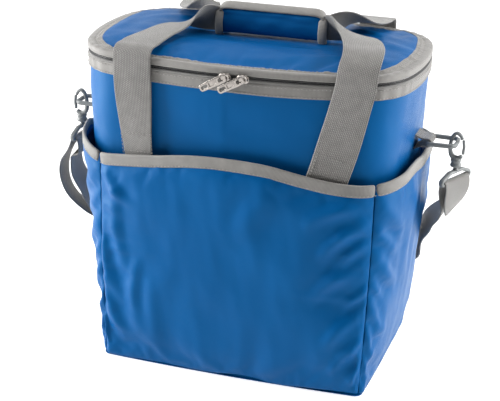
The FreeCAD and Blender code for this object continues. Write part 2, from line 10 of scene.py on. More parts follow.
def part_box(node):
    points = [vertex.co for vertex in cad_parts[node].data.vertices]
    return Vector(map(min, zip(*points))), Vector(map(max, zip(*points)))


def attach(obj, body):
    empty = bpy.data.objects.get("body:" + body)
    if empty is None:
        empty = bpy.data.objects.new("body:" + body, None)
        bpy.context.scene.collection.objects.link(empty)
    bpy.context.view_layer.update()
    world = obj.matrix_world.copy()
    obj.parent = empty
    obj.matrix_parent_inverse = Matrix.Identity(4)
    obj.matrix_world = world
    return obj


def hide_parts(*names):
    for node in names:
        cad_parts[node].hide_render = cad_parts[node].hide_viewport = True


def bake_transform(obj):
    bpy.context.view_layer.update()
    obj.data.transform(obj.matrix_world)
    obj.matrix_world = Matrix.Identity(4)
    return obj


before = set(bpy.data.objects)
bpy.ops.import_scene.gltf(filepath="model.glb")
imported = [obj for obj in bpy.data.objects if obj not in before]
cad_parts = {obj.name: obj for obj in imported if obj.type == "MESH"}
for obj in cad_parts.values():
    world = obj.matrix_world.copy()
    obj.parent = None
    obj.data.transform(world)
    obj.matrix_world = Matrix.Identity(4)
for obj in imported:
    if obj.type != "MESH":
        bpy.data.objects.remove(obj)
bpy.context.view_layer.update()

# Lengths below are millimetres, as in the frame's source; meshes are made in metres.
MM = 0.001


def span(node):
    """The lowest and highest corner of a CAD node, in millimetres."""
    low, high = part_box(node)
    return np.array(low) / MM, np.array(high) / MM


# ---------------------------------------------------------------- sizes read from the frame

BINDING_PROUD = 1.6
RIM_LOW, RIM_HIGH = span("rim_binding")
TAPE_LOW, TAPE_HIGH = span("zip_tape_lower")
LID_LOW, LID_HIGH = span("lid_binding")
DOME_HIGH = span("lid_panel")[1]
LINER_LOW, LINER_HIGH = span("liner_tub")
LID_LINER_LOW = span("lid_liner")[0]
GRIP_LOW, GRIP_HIGH = span("grip_front_pad")
GRIP_BACK_HIGH = span("grip_back_pad")[1]
RING_LOW, RING_HIGH = span("d_ring_right")
HOOK_LOW = span("snap_hook_right")[0]
GATE_LOW, GATE_HIGH = span("hook_gate_right")
FRAME_LOW, FRAME_HIGH = span("strap_frame_right")
TUB_TOP = LINER_HIGH[2] + 0.4
WEB = 37.0
WEB_THICK = 1.6

# ---------------------------------------------------------------- mesh helpers


def lattice(name, points, loop_u=False, loop_v=False, caps=False):
    """A mesh of quads on points (rows, columns, 3), with UVs in millimetres along and up."""
    rows, cols = points.shape[:2]
    grid = np.arange(rows * cols).reshape(rows, cols)
    if loop_u:
        grid = np.hstack([grid, grid[:, :1]])
    if loop_v:
        grid = np.vstack([grid, grid[:1]])
    flat = points.reshape(-1, 3)
    step_u = np.linalg.norm(flat[grid[:, 1:]] - flat[grid[:, :-1]], axis=-1).mean(0)
    step_v = np.linalg.norm(flat[grid[1:]] - flat[grid[:-1]], axis=-1).mean(1)
    u = np.concatenate([[0], np.cumsum(step_u)])
    v = np.concatenate([[0], np.cumsum(step_v)])
    faces = np.stack([grid[:-1, :-1], grid[:-1, 1:], grid[1:, 1:], grid[1:, :-1]], -1).reshape(-1, 4).tolist()
    uu, vv = np.meshgrid(u, v)
    place = np.stack([uu, vv], -1)
    corners = np.stack([place[:-1, :-1], place[:-1, 1:], place[1:, 1:], place[1:, :-1]], 2).reshape(-1, 2)
    if caps:
        faces += [grid[:rows, 0][::-1].tolist(), grid[:rows, cols - 1].tolist()]
        corners = np.vstack([corners, np.zeros((2 * rows, 2))])
    return raw_mesh(name, flat, faces, corners)


def raw_mesh(name, points, faces, corners=None):
    """A smooth-shaded mesh object from points in millimetres, with a UV for each face corner."""
    mesh = bpy.data.meshes.new(name)
    mesh.from_pydata((np.asarray(points) * MM).tolist(), [], faces)
    if corners is not None:
        layer = mesh.uv_layers.new(name="UVMap")
        layer.data.foreach_set("uv", np.asarray(corners, np.float32).ravel())
    mesh.shade_smooth()
    piece = bpy.data.objects.new(name, mesh)
    bpy.context.scene.collection.objects.link(piece)
    return piece


def outward(piece):
    """Turns every face of a closed mesh outward."""
    edit = bmesh.new()
    edit.from_mesh(piece.data)
    bmesh.ops.recalc_face_normals(edit, faces=edit.faces)
    edit.to_mesh(piece.data)
    edit.free()
    return piece


def dress(piece, material, body=None, stands_for=(), levels=0, thickness=0.0, inward=-1.0):
    """Gives a piece its material, slot, body and finishing modifiers."""
    piece.data.materials.append(material)
    if thickness:
        solid = piece.modifiers.new("thickness", "SOLIDIFY")
        solid.thickness = thickness * MM
        solid.offset = inward
    if levels:
        smooth = piece.modifiers.new("smooth", "SUBSURF")
        smooth.levels = smooth.render_levels = levels
    if body:
        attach(piece, body)
    if stands_for:
        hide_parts(*stands_for)
    return piece


def positions(mesh):
    """A mesh's vertices in millimetres."""
    co = np.zeros(len(mesh.vertices) * 3, np.float32)
    mesh.vertices.foreach_get("co", co)
    return co.reshape(-1, 3).astype(float) / MM


def evaluated(piece):
    """A piece's mesh with its modifiers applied, as a new mesh."""
    graph = bpy.context.evaluated_depsgraph_get()
    return bpy.data.meshes.new_from_object(piece.evaluated_get(graph), depsgraph=graph)


def hermite(knots, values, at):
    """A smooth curve through values at knots, sampled at many places."""
    slope = np.gradient(values, knots, axis=0)
    k = np.clip(np.searchsorted(knots, at, side="right") - 1, 0, len(knots) - 2)
    width = (knots[k + 1] - knots[k])[:, None]
    s = (at - knots[k])[:, None] / width
    a, b = values[k], values[k + 1]
    return ((2 * s**3 - 3 * s**2 + 1) * a + (s**3 - 2 * s**2 + s) * width * slope[k]
            + (3 * s**2 - 2 * s**3) * b + (s**3 - s**2) * width * slope[k + 1])


def through(values, spacing):
    """Rows of numbers whose first three are a point, resampled evenly along a smooth curve."""
    values = np.asarray(values, float)
    knots = np.concatenate([[0], np.cumsum(np.linalg.norm(np.diff(values[:, :3], axis=0), axis=1))])
    fine = hermite(knots, values, np.linspace(0, knots[-1], 40 * len(values)))
    run = np.concatenate([[0], np.cumsum(np.linalg.norm(np.diff(fine[:, :3], axis=0), axis=1))])
    even = np.linspace(0, run[-1], max(4, int(run[-1] / spacing) + 1))
    return np.stack([np.interp(even, run, fine[:, c]) for c in range(fine.shape[1])], -1)


def unit(v):
    """Vectors of length 1 along the last axis."""
    v = np.asarray(v, float)
    return v / np.maximum(np.linalg.norm(v, axis=-1, keepdims=True), 1e-9)


def tangents(points, closed=False):
    """Unit directions along a line of points."""
    if closed:
        return unit(np.roll(points, -1, 0) - np.roll(points, 1, 0))
    return unit(np.gradient(points, axis=0))


def same(direction, line):
    """One direction, repeated for every point of a line."""
    return np.tile(np.asarray(direction, float), (len(line), 1))


def sweep(name, centres, sides, profile, closed=False, scale=None):
    """A closed profile of (side, face) offsets carried along a line; sides are the width directions."""
    run = tangents(centres, closed)
    side = unit(sides - run * (sides * run).sum(-1, keepdims=True))
    face = np.cross(run, side)
    profile = np.asarray(profile, float)
    grow = np.ones((len(centres), 2)) if scale is None else scale
    points = (centres[None] + side[None] * (profile[:, :1, None] * grow[None, :, :1])
              + face[None] * (profile[:, 1:, None] * grow[None, :, 1:]))
    return outward(lattice(name, points, loop_u=closed, loop_v=True, caps=not closed))


def round_profile(across, through_size, power=2.0, count=14):
    """A rounded section, from an ellipse at power 2 towards a rectangle at higher powers."""
    a = np.linspace(0, 2 * np.pi, count, endpoint=False)
    c, s = np.cos(a), np.sin(a)
    return np.stack([across / 2 * np.sign(c) * abs(c)**(2 / power),
                     through_size / 2 * np.sign(s) * abs(s)**(2 / power)], -1)


def rounded_loop(corners, radius, arc_steps=6, straight_step=4.0):
    """A closed 2-D line through corners, each rounded."""
    corners = np.asarray(corners, float)
    made = []
    for k, corner in enumerate(corners):
        before, after = corners[k - 1] - corner, corners[(k + 1) % len(corners)] - corner
        half = math.acos(np.clip(unit(before) @ unit(after), -1, 1)) / 2
        back = min(radius / math.tan(half), 0.48 * np.linalg.norm(before), 0.48 * np.linalg.norm(after))
        start, end = corner + unit(before) * back, corner + unit(after) * back
        for t in np.linspace(0, 1, arc_steps + 1):
            made.append((1 - t)**2 * start + 2 * t * (1 - t) * corner + t**2 * end)
        length = np.linalg.norm(after) - 2 * back
        for t in np.linspace(0, 1, max(2, int(length / straight_step)) + 1)[1:-1]:
            made.append(end + unit(after) * length * t)
    return np.array(made)


def turned(name, profile, centre, count=24):
    """A body turned about the vertical, from (radius, height) pairs."""
    a = np.linspace(0, 2 * np.pi, count, endpoint=False)
    profile = np.asarray(profile, float)
    ring = np.stack([np.cos(a), np.sin(a)], -1)
    points = np.concatenate([profile[:, :1, None] * ring[None],
                             np.repeat(profile[:, 1:, None], count, 1)], -1) + np.asarray(centre, float)
    piece = lattice(name, points, loop_u=True)
    edit = bmesh.new()
    edit.from_mesh(piece.data)
    bmesh.ops.holes_fill(edit, edges=[e for e in edit.edges if e.is_boundary], sides=0)
    bmesh.ops.recalc_face_normals(edit, faces=edit.faces)
    edit.to_mesh(piece.data)
    edit.free()
    return piece


def plate(name, outline, holes, thick, bevel, matrix):
    """A flat plate with bevelled edges, cut from a 2-D outline and holes, then placed by a matrix."""
    curve = bpy.data.curves.new(name, "CURVE")
    curve.dimensions = "2D"
    curve.fill_mode = "BOTH"
    curve.extrude = (thick / 2 - bevel) * MM
    curve.bevel_depth = bevel * MM
    curve.bevel_resolution = 2
    for loop in [outline, *holes]:
        spline = curve.splines.new("POLY")
        spline.points.add(len(loop) - 1)
        for point, (x, y) in zip(spline.points, loop):
            point.co = (x * MM, y * MM, 0, 1)
        spline.use_cyclic_u = True
    holder = bpy.data.objects.new(name, curve)
    bpy.context.scene.collection.objects.link(holder)
    mesh = evaluated(holder)
    bpy.data.objects.remove(holder)
    mesh.name = name
    mesh.transform(matrix)
    piece = bpy.data.objects.new(name, mesh)
    bpy.context.scene.collection.objects.link(piece)
    edit = bmesh.new()
    edit.from_mesh(mesh)
    bmesh.ops.remove_doubles(edit, verts=edit.verts, dist=2e-6)
    edit.to_mesh(mesh)
    edit.free()
    mesh.shade_smooth()
    return piece


def joined(name, pieces):
    """Several mesh objects as one."""
    with bpy.context.temp_override(active_object=pieces[0], object=pieces[0], selected_objects=pieces,
                                   selected_editable_objects=pieces):
        bpy.ops.object.join()
    pieces[0].name = name
    return pieces[0]


def stitch_row(points, normals, pitch=3.6, length=2.4, radius=0.34, lift=0.05):
    """Thread stitches along a line of points, as (vertices, faces)."""
    run = np.concatenate([[0], np.cumsum(np.linalg.norm(np.diff(points, axis=0), axis=1))])
    places = np.arange(pitch / 2, run[-1], pitch)
    middle = np.stack([np.interp(places, run, points[:, c]) for c in range(3)], -1)
    ahead = np.stack([np.interp(places + length / 2, run, points[:, c]) for c in range(3)], -1)
    out = unit(np.stack([np.interp(places, run, normals[:, c]) for c in range(3)], -1))
    along = unit(ahead - middle)
    side = np.cross(out, along)
    rings = [(-0.5, 0.3, -0.5), (-0.3, 0.9, 0.2), (0.0, 1.0, 0.35), (0.3, 0.9, 0.2), (0.5, 0.3, -0.5)]
    around = np.linspace(0, 2 * np.pi, 5, endpoint=False)
    verts = []
    for place, size, rise in rings:
        for a in around:
            verts.append(middle + along * place * length + side * math.cos(a) * radius * size
                         + out * (math.sin(a) * radius * size + rise * radius + lift))
    verts = np.stack(verts, 1)
    count = len(around)
    quads = [[r + k, r + (k + 1) % count, r + count + (k + 1) % count, r + count + k]
             for r in range(0, (len(rings) - 1) * count, count) for k in range(count)]
    ends = [list(range(count))[::-1], [len(rings) * count - count + k for k in range(count)]]
    faces = []
    for n in range(len(middle)):
        base = n * len(rings) * count
        faces += [[base + i for i in face] for face in quads + ends]
    return verts.reshape(-1, 3), faces


def stitched(name, rows, material, body):
    """One piece made of many stitch rows, each (points, normals)."""
    verts, faces, start = [], [], 0
    for points, normals in rows:
        v, f = stitch_row(np.asarray(points, float), np.asarray(normals, float))
        verts.append(v)
        faces += [[i + start for i in face] for face in f]
        start += len(v)
    piece = outward(raw_mesh(name, np.vstack(verts), faces))
    return dress(piece, material, body)


# ---------------------------------------------------------------- cloth


def settle(piece, held, pressure, slack, frames, cap, bend=0.4):
    """Runs cloth on a copy of a mesh and returns how far each point moves, never more than cap."""
    start = positions(piece.data)
    mesh = piece.data.copy()
    double = bpy.data.objects.new("settling", mesh)
    bpy.context.scene.collection.objects.link(double)
    cloth = double.modifiers.new("cloth", "CLOTH")
    settings = cloth.settings
    settings.quality = 6
    settings.mass = 0.2
    settings.tension_stiffness = settings.compression_stiffness = 20
    settings.shear_stiffness = 8
    settings.bending_stiffness = bend
    settings.use_pressure = pressure != 0
    settings.uniform_pressure_force = pressure
    settings.shrink_min = -slack
    settings.effector_weights.gravity = 0
    if held is not None:
        group = double.vertex_groups.new(name="held")
        for weight in np.unique(held[held > 0]):
            group.add(np.where(held == weight)[0].tolist(), float(weight), "REPLACE")
        settings.vertex_group_mass = "held"
    cloth.collision_settings.use_collision = False
    cloth.point_cache.frame_start, cloth.point_cache.frame_end = 1, frames
    for step in range(1, frames + 1):
        bpy.context.scene.frame_set(step)
    graph = bpy.context.evaluated_depsgraph_get()
    moved = positions(double.evaluated_get(graph).data)
    bpy.context.scene.frame_set(1)
    bpy.data.objects.remove(double)
    shift = moved - start
    size = np.linalg.norm(shift, axis=1, keepdims=True)
    return shift * np.where(size > 1e-6, cap * np.tanh(size / cap) / np.maximum(size, 1e-6), 0)


def ripple(x, y, seed, size):
    """Smooth pseudo-random height from a few sine waves; size is the wavelength in the same units."""
    draw = np.random.default_rng(seed)
    total = 0
    for _ in range(7):
        angle, phase = draw.uniform(0, 2 * np.pi, 2)
        stretch = draw.uniform(0.6, 1.6)
        along = x * math.cos(angle) + y * math.sin(angle)
        total = total + np.sin(along * 2 * np.pi / (size * stretch) + phase)
    return total / 4


def folds(along, up, creases):
    """Height of a set of creases; each is (from, to, half width, depth) on a flat sheet."""
    total = np.zeros_like(along)
    for (x0, y0), (x1, y1), width, depth in creases:
        length = math.hypot(x1 - x0, y1 - y0)
        dx, dy = (x1 - x0) / length, (y1 - y0) / length
        t = ((along - x0) * dx + (up - y0) * dy) / length
        off = (-(along - x0) * dy + (up - y0) * dx + 0.08 * length * np.sin(np.pi * np.clip(t, 0, 1))) / width
        fade = np.clip(1 - abs(2 * t - 1), 0, 1)**0.6
        total += depth * fade * (1 - off**2) * np.exp(-(off**2) / 1.6)
    return total


# ---------------------------------------------------------------- materials


def material(name, colour, roughness, **sockets):
    """A material with one Principled shader; more values go to the sockets that they name."""
    made = bpy.data.materials.new(name)
    made.use_nodes = True
    shader = made.node_tree.nodes["Principled BSDF"]
    shader.inputs["Base Color"].default_value = (*colour, 1)
    shader.inputs["Roughness"].default_value = roughness
    for label, value in sockets.items():
        shader.inputs[label.replace("_", " ")].default_value = value
    return made


def add(tree, kind, inputs=None, **props):
    """A node with its properties, and its inputs set or linked."""
    node = tree.nodes.new(kind)
    for key, value in props.items():
        setattr(node, key, value)
    for key, value in (inputs or {}).items():
        if isinstance(value, bpy.types.NodeSocket):
            tree.links.new(value, node.inputs[key])
        else:
            node.inputs[key].default_value = value
    return node


def maths(tree, operation, a, b=0.0):
    """The output of a maths node."""
    return add(tree, "ShaderNodeMath", {0: a, 1: b}, operation=operation).outputs[0]


def tint(tree, dark, light, factor):
    """The output of a colour mix of two colours by a factor."""
    mix = add(tree, "ShaderNodeMix", {"Factor": factor, "A": (*dark, 1), "B": (*light, 1)}, data_type="RGBA")
    return mix.outputs["Result"]


def flat_coordinates(tree):
    """The UV output, in millimetres along and across the cloth."""
    return add(tree, "ShaderNodeTexCoord").outputs["UV"]


def space_coordinates(tree, scale):
    """Object coordinates scaled to suit, for pieces without a cloth direction."""
    place = add(tree, "ShaderNodeTexCoord").outputs["Object"]
    return add(tree, "ShaderNodeMapping", {"Vector": place, "Scale": (scale,) * 3}).outputs["Vector"]


def bands(tree, vector, direction, pitch):
    """Sine bands a given pitch apart; the pitch is in the vector's units."""
    wave_scale = 2 * math.pi / 20 / pitch
    return add(tree, "ShaderNodeTexWave", {"Vector": vector, "Scale": wave_scale},
               bands_direction=direction, wave_profile="SIN").outputs["Fac"]


def noise(tree, vector, scale, detail=3.0, rough=0.5):
    """A noise value."""
    return add(tree, "ShaderNodeTexNoise", {"Vector": vector, "Scale": scale, "Detail": detail,
                                            "Roughness": rough}).outputs["Fac"]


def relief(made, height, distance, strength=1.0, under=None):
    """Feeds a height into the material's normal; distance is in millimetres."""
    tree = made.node_tree
    inputs = {"Height": height, "Distance": distance * MM, "Strength": strength}
    if under is not None:
        inputs["Normal"] = under
    normal = add(tree, "ShaderNodeBump", inputs).outputs["Normal"]
    tree.links.new(normal, tree.nodes["Principled BSDF"].inputs["Normal"])
    return normal


def paint(made, colour=None, rough=None):
    """Links a colour and a roughness into the material's shader."""
    tree = made.node_tree
    shader = tree.nodes["Principled BSDF"]
    if colour is not None:
        tree.links.new(colour, shader.inputs["Base Color"])
    if rough is not None:
        tree.links.new(rough, shader.inputs["Roughness"])


def coated_cloth(name, in_space=False):
    """Blue nylon with a satin coat: fine plain weave, soft creasing, slow colour change."""
    made = material(name, (0.0, 0.085, 0.29), 0.36, Specular_IOR_Level=0.22,
                    Specular_Tint=(0.22, 0.66, 1.0, 1.0))
    tree = made.node_tree
    place = space_coordinates(tree, 1 / MM) if in_space else flat_coordinates(tree)
    slow = noise(tree, place, 0.012, 2.0)
    paint(made, tint(tree, (0.0, 0.060, 0.200), (0.0, 0.084, 0.265), slow),
          maths(tree, "ADD", 0.34, maths(tree, "MULTIPLY", noise(tree, place, 0.05), 0.16)))
    threads = maths(tree, "ADD", bands(tree, place, "X", 0.45), bands(tree, place, "Y", 0.45))
    soft = relief(made, noise(tree, place, 0.035, 4.0, 0.45), 1.3, 0.55)
    relief(made, threads, 0.035, 0.5, soft)
    return made


def webbing(name, dark, light, rib=1.9, row=1.35):
    """Woven polyester tape: staggered raised floats between dark gaps."""
    made = material(name, light, 0.62, Sheen_Weight=0.35, Sheen_Roughness=0.5)
    tree = made.node_tree
    place = flat_coordinates(tree)
    brick = add(tree, "ShaderNodeTexBrick", {"Vector": place, "Scale": 1.0, "Mortar Size": 0.28,
                                             "Mortar Smooth": 0.8, "Brick Width": rib, "Row Height": row},
                offset=0.5)
    gap = brick.outputs["Fac"]
    worn = noise(tree, place, 0.12, 3.0)
    level = maths(tree, "SUBTRACT", maths(tree, "ADD", 0.55, maths(tree, "MULTIPLY", worn, 0.6)), gap)
    paint(made, tint(tree, dark, light, level))
    floats = maths(tree, "SUBTRACT", 1.0, gap)
    fine = maths(tree, "MULTIPLY", bands(tree, place, "Y", 0.34), 0.25)
    relief(made, maths(tree, "ADD", floats, fine), 0.30, 0.8)
    return made


def ribbed_tape(name, dark, light, pitch=1.1):
    """Grosgrain: close ribs across the tape, slightly uneven in tone."""
    made = material(name, light, 0.6, Sheen_Weight=0.3, Sheen_Roughness=0.5)
    tree = made.node_tree
    place = flat_coordinates(tree)
    ribs = bands(tree, place, "X", pitch)
    fine = bands(tree, place, "Y", 0.5)
    uneven = noise(tree, place, 0.08, 4.0)
    level = maths(tree, "ADD", maths(tree, "MULTIPLY", ribs, 0.55), maths(tree, "MULTIPLY", uneven, 0.55))
    paint(made, tint(tree, dark, light, level))
    relief(made, maths(tree, "ADD", ribs, maths(tree, "MULTIPLY", fine, 0.3)), 0.16, 0.8)
    return made


def moulded(name, colour, roughness=0.42):
    """Moulded nylon hardware: faint grain and tone change."""
    made = material(name, colour, roughness, Specular_IOR_Level=0.5)
    tree = made.node_tree
    place = space_coordinates(tree, 1 / MM)
    grain = noise(tree, place, 1.4, 3.0)
    slow = noise(tree, place, 0.06, 2.0)
    darker = tuple(c * 0.82 for c in colour)
    paint(made, tint(tree, darker, colour, slow),
          maths(tree, "ADD", roughness - 0.08, maths(tree, "MULTIPLY", grain, 0.2)))
    relief(made, grain, 0.05, 0.5)
    return made


def nickel(name):
    """Plated metal with fine wear."""
    made = material(name, (0.55, 0.50, 0.46), 0.22, Metallic=1.0)
    tree = made.node_tree
    place = space_coordinates(tree, 1 / MM)
    wear = noise(tree, place, 0.8, 5.0, 0.6)
    paint(made, tint(tree, (0.22, 0.20, 0.185), (0.46, 0.43, 0.40), wear),
          maths(tree, "ADD", 0.16, maths(tree, "MULTIPLY", wear, 0.2)))
    relief(made, noise(tree, place, 3.0, 2.0), 0.02, 0.4)
    return made


def foil(name):
    """Silver-white insulating film, crinkled."""
    made = material(name, (0.74, 0.76, 0.78), 0.32, Metallic=0.35, Coat_Weight=0.3, Coat_Roughness=0.25)
    tree = made.node_tree
    place = space_coordinates(tree, 1 / MM)
    crinkle = add(tree, "ShaderNodeTexVoronoi", {"Vector": place, "Scale": 0.045}, feature="SMOOTH_F1")
    fine = noise(tree, place, 0.15, 5.0, 0.6)
    paint(made, tint(tree, (0.62, 0.64, 0.67), (0.82, 0.83, 0.84), fine),
          maths(tree, "ADD", 0.22, maths(tree, "MULTIPLY", fine, 0.25)))
    soft = relief(made, crinkle.outputs["Distance"], 2.2, 0.35)
    relief(made, fine, 0.6, 0.5, soft)
    return made


def cells_foam(name):
    """Closed-cell foam."""
    made = material(name, (0.78, 0.79, 0.78), 0.8)
    tree = made.node_tree
    place = space_coordinates(tree, 1 / MM)
    cell = add(tree, "ShaderNodeTexVoronoi", {"Vector": place, "Scale": 0.8}).outputs["Distance"]
    paint(made, tint(tree, (0.60, 0.62, 0.62), (0.82, 0.83, 0.82), cell))
    relief(made, cell, 0.3, 0.6)
    return made


def fibre_board(name):
    """Grey stiffening board."""
    made = material(name, (0.33, 0.32, 0.31), 0.7)
    tree = made.node_tree
    place = space_coordinates(tree, 1 / MM)
    grain = noise(tree, place, 0.5, 6.0, 0.7)
    paint(made, tint(tree, (0.24, 0.23, 0.22), (0.40, 0.39, 0.38), grain))
    relief(made, grain, 0.15, 0.6)
    return made


def thread(name, colour):
    """Twisted sewing thread."""
    made = material(name, colour, 0.55, Sheen_Weight=0.3)
    tree = made.node_tree
    place = space_coordinates(tree, 1 / MM)
    twist = noise(tree, place, 2.0, 2.0)
    paint(made, tint(tree, tuple(c * 0.75 for c in colour), colour, twist))
    relief(made, twist, 0.05, 0.5)
    return made


BLUE = coated_cloth("coated_cloth")
BLUE_SOLID = coated_cloth("coated_cloth_padded", in_space=True)
WEBBING = webbing("webbing", (0.036, 0.034, 0.032), (0.245, 0.236, 0.222))
BINDING = ribbed_tape("binding", (0.080, 0.076, 0.071), (0.245, 0.236, 0.220))
TAPE = ribbed_tape("zip_tape", (0.056, 0.055, 0.052), (0.185, 0.180, 0.170), pitch=0.8)
COIL = moulded("zip_coil", (0.028, 0.028, 0.029), 0.45)
METAL = nickel("nickel")
PLASTIC = moulded("hardware", (0.150, 0.160, 0.160))
LINER = foil("liner")
FOAM = cells_foam("foam")
BOARD = fibre_board("board")
GREY_THREAD = thread("grey_thread", (0.27, 0.26, 0.245))

# ---------------------------------------------------------------- the bag's outline

FRONT_STEPS, CORNER_STEPS, SIDE_STEPS = 34, 12, 22
MIDDLE_Y = (RIM_LOW[1] + RIM_HIGH[1]) / 2
# Each shape is half its width, half its depth, the bow radii of its front and sides, and its corner radius.
RIM_SHAPE = (RIM_HIGH[0] - BINDING_PROUD, RIM_HIGH[1] - BINDING_PROUD - MIDDLE_Y, 560.0, 182.0, 52.0)
FLOOR_SHAPE = (131.5, RIM_SHAPE[1] - 1.5, 2200.0, 2300.0, 6.0)
# How far the pockets stand out from the tub at the floor, and how much further at the rim.
POCKET_FLARE = (3.0, 9.5)


def arc(centre, radius, start, end, count):
    """Points on an arc."""
    a = np.linspace(start, end, count + 1)[:, None]
    return centre + radius * np.hstack([np.cos(a), np.sin(a)])


def outline(half_w, half_d, front_bow, side_bow, corner):
    """Four bowed sides and four tangent corners, anticlockwise from the middle of the front."""
    front_centre = np.array([0, half_d - front_bow])
    side_centre = np.array([half_w - side_bow, 0])
    reach, reach_side = front_bow - corner, side_bow - corner
    apart = np.linalg.norm(side_centre - front_centre)
    ahead = (side_centre - front_centre) / apart
    along = (reach**2 - reach_side**2 + apart**2) / (2 * apart)
    off = math.sqrt(reach**2 - along**2)
    beside = np.array([-ahead[1], ahead[0]])
    options = [front_centre + ahead * along + beside * off * sign for sign in (1, -1)]
    centre = max(options, key=lambda p: p.sum())
    front_angle = math.atan2(*(centre - front_centre)[::-1])
    side_angle = math.atan2(*(centre - side_centre)[::-1])
    quarter = np.vstack([arc(front_centre, front_bow, np.pi / 2, front_angle, FRONT_STEPS)[:-1],
                         arc(centre, corner, front_angle, side_angle, CORNER_STEPS)[:-1],
                         arc(side_centre, side_bow, side_angle, 0, SIDE_STEPS)])
    back = quarter[::-1]
    loop = np.vstack([(quarter * [1, -1])[:-1], back[:-1], (quarter * [-1, 1])[:-1], -back[:-1]])
    return loop + [0, MIDDLE_Y]


RIM = outline(*RIM_SHAPE)
FLOOR = outline(*FLOOR_SHAPE)
AROUND = len(RIM)
CORNER = FRONT_STEPS + CORNER_STEPS / 2


def facing_out(points):
    """Outward unit normals of a closed outline."""
    run = np.roll(points, -1, 0) - np.roll(points, 1, 0)
    return unit(np.stack([run[:, 1], -run[:, 0]], -1))


RIM_OUT, FLOOR_OUT = facing_out(RIM), facing_out(FLOOR)


def at_column(table, column):
    """A closed table read at fractional columns."""
    whole = np.floor(column).astype(int)
    part = (column - whole)[..., None]
    return table[whole % AROUND] * (1 - part) + table[(whole + 1) % AROUND] * part


def wall(column, z, out):
    """Points on the tub's wall at a place round it, a height, and a distance out."""
    column, z, out = np.broadcast_arrays(*(np.asarray(part, float) for part in (column, z, out)))
    t = np.clip(z / TUB_TOP, 0, 1)[..., None]
    place = at_column(FLOOR, column) * (1 - t) + at_column(RIM, column) * t
    normal = wall_normal(column, z)[..., :2]
    return np.concatenate([place + normal * out[..., None], z[..., None]], -1)


def wall_normal(column, z):
    """The outward direction of the wall, level with the ground."""
    t = np.clip(np.asarray(z, float) / TUB_TOP, 0, 1)[..., None]
    flat = unit(at_column(FLOOR_OUT, column) * (1 - t) + at_column(RIM_OUT, column) * t)
    return np.concatenate([flat, np.zeros(flat.shape[:-1] + (1,))], -1)


ALL = np.arange(AROUND, dtype=float)[None]


def column_at_x(x):
    """The column of the rim's front whose x is nearest a given one."""
    behind = np.where(RIM[:, 1] < 0, 0, 1000)
    return float((abs(RIM[:, 0] - x) + behind).argmin())


def near_corners(column):
    """1 at the middle of each rounded corner, falling to 0 away from it."""
    corners = (CORNER, AROUND / 2 - CORNER, AROUND / 2 + CORNER, AROUND - CORNER)
    return sum(np.exp(-(((column - c + AROUND / 2) % AROUND - AROUND / 2) / 7.0)**2) for c in corners)


# ---------------------------------------------------------------- outer body


def make_body():
    """The walls above and behind the pockets, one taut sheet with a little slack in it."""
    heights = np.concatenate([[0.2, 1.2], np.linspace(5, RIM_LOW[2] + 6, 58)])[:, None]
    along = ALL * 880 / AROUND
    fade = np.clip((heights - 10) / 60, 0, 1) * np.clip((RIM_LOW[2] - heights) / 25, 0, 1)
    slack = ripple(along, heights * 0.8, 11, 95.0) * 0.7 + ripple(along, heights * 1.4, 12, 42.0) * 0.28
    creases = []
    for middle in (-column_at_x(-108) + AROUND, column_at_x(126)):
        place = middle * 880 / AROUND
        creases += [((place - 14, 286), (place - 4, 236), 5.0, 0.5),
                    ((place + 12, 285), (place + 18, 244), 6.0, 0.45)]
    points = wall(ALL, heights, fade * (slack + folds(along + heights * 0, heights + along * 0, creases)) - 0.1)
    piece = lattice("body_shell", points, loop_u=True)
    dress(piece, BLUE, "bag",
          ("outer_front_panel", "outer_back_panel", "outer_left_panel", "outer_right_panel"),
          levels=1, thickness=0.9)


def coons(edge, z, count_front, count_side):
    """A patch of quads inside a closed outline whose four corners are the rounded corners' middles."""
    loop = np.roll(edge, -int(AROUND - CORNER), axis=0)
    front = loop[:count_front + 1]
    right = loop[count_front:count_front + count_side + 1]
    back = loop[count_front + count_side:2 * count_front + count_side + 1][::-1]
    left = np.vstack([loop[2 * count_front + count_side:], loop[:1]])[::-1]
    u = np.linspace(0, 1, count_front + 1)[None, :, None]
    v = np.linspace(0, 1, count_side + 1)[:, None, None]
    patch = ((1 - v) * front[None] + v * back[None] + (1 - u) * left[:, None] + u * right[:, None]
             - ((1 - u) * (1 - v) * front[0] + u * (1 - v) * front[-1]
                + (1 - u) * v * back[0] + u * v * back[-1]))
    return np.concatenate([patch, np.full(patch.shape[:2] + (1,), float(z))], -1)


FRONT_COUNT = 2 * FRONT_STEPS + CORNER_STEPS
SIDE_COUNT = 2 * SIDE_STEPS + CORNER_STEPS


def edge_distance(points, edge):
    """How far each point of a patch is from an outline, seen from above."""
    flat = points.reshape(-1, 1, points.shape[-1])[..., :2]
    return np.linalg.norm(flat - edge[None], axis=-1).min(1).reshape(points.shape[:-1])


def make_base():
    """The floor panel under the bag."""
    patch = coons(FLOOR + FLOOR_OUT * 2.2, 0.5, FRONT_COUNT, SIDE_COUNT)
    inside = edge_distance(patch, FLOOR)
    patch[..., 2] += 0.5 * np.clip(inside / 30, 0, 1) * (1 + ripple(patch[..., 0], patch[..., 1], 5, 70.0))
    piece = lattice("base_sheet", patch[:, ::-1])
    dress(piece, BLUE, "bag", ("outer_base_panel",), levels=1, thickness=0.8)


# ---------------------------------------------------------------- pockets


def seam_column(z, side):
    """Where a pocket's corner seam runs; it leans round the corner as it rises."""
    if side > 0:
        return np.interp(z, [0, 100, 214], [CORNER, CORNER - 0.8, CORNER - 1.6])
    return -np.interp(z, [0, 60, 214], [CORNER, CORNER - 2.6, CORNER - 4.0])


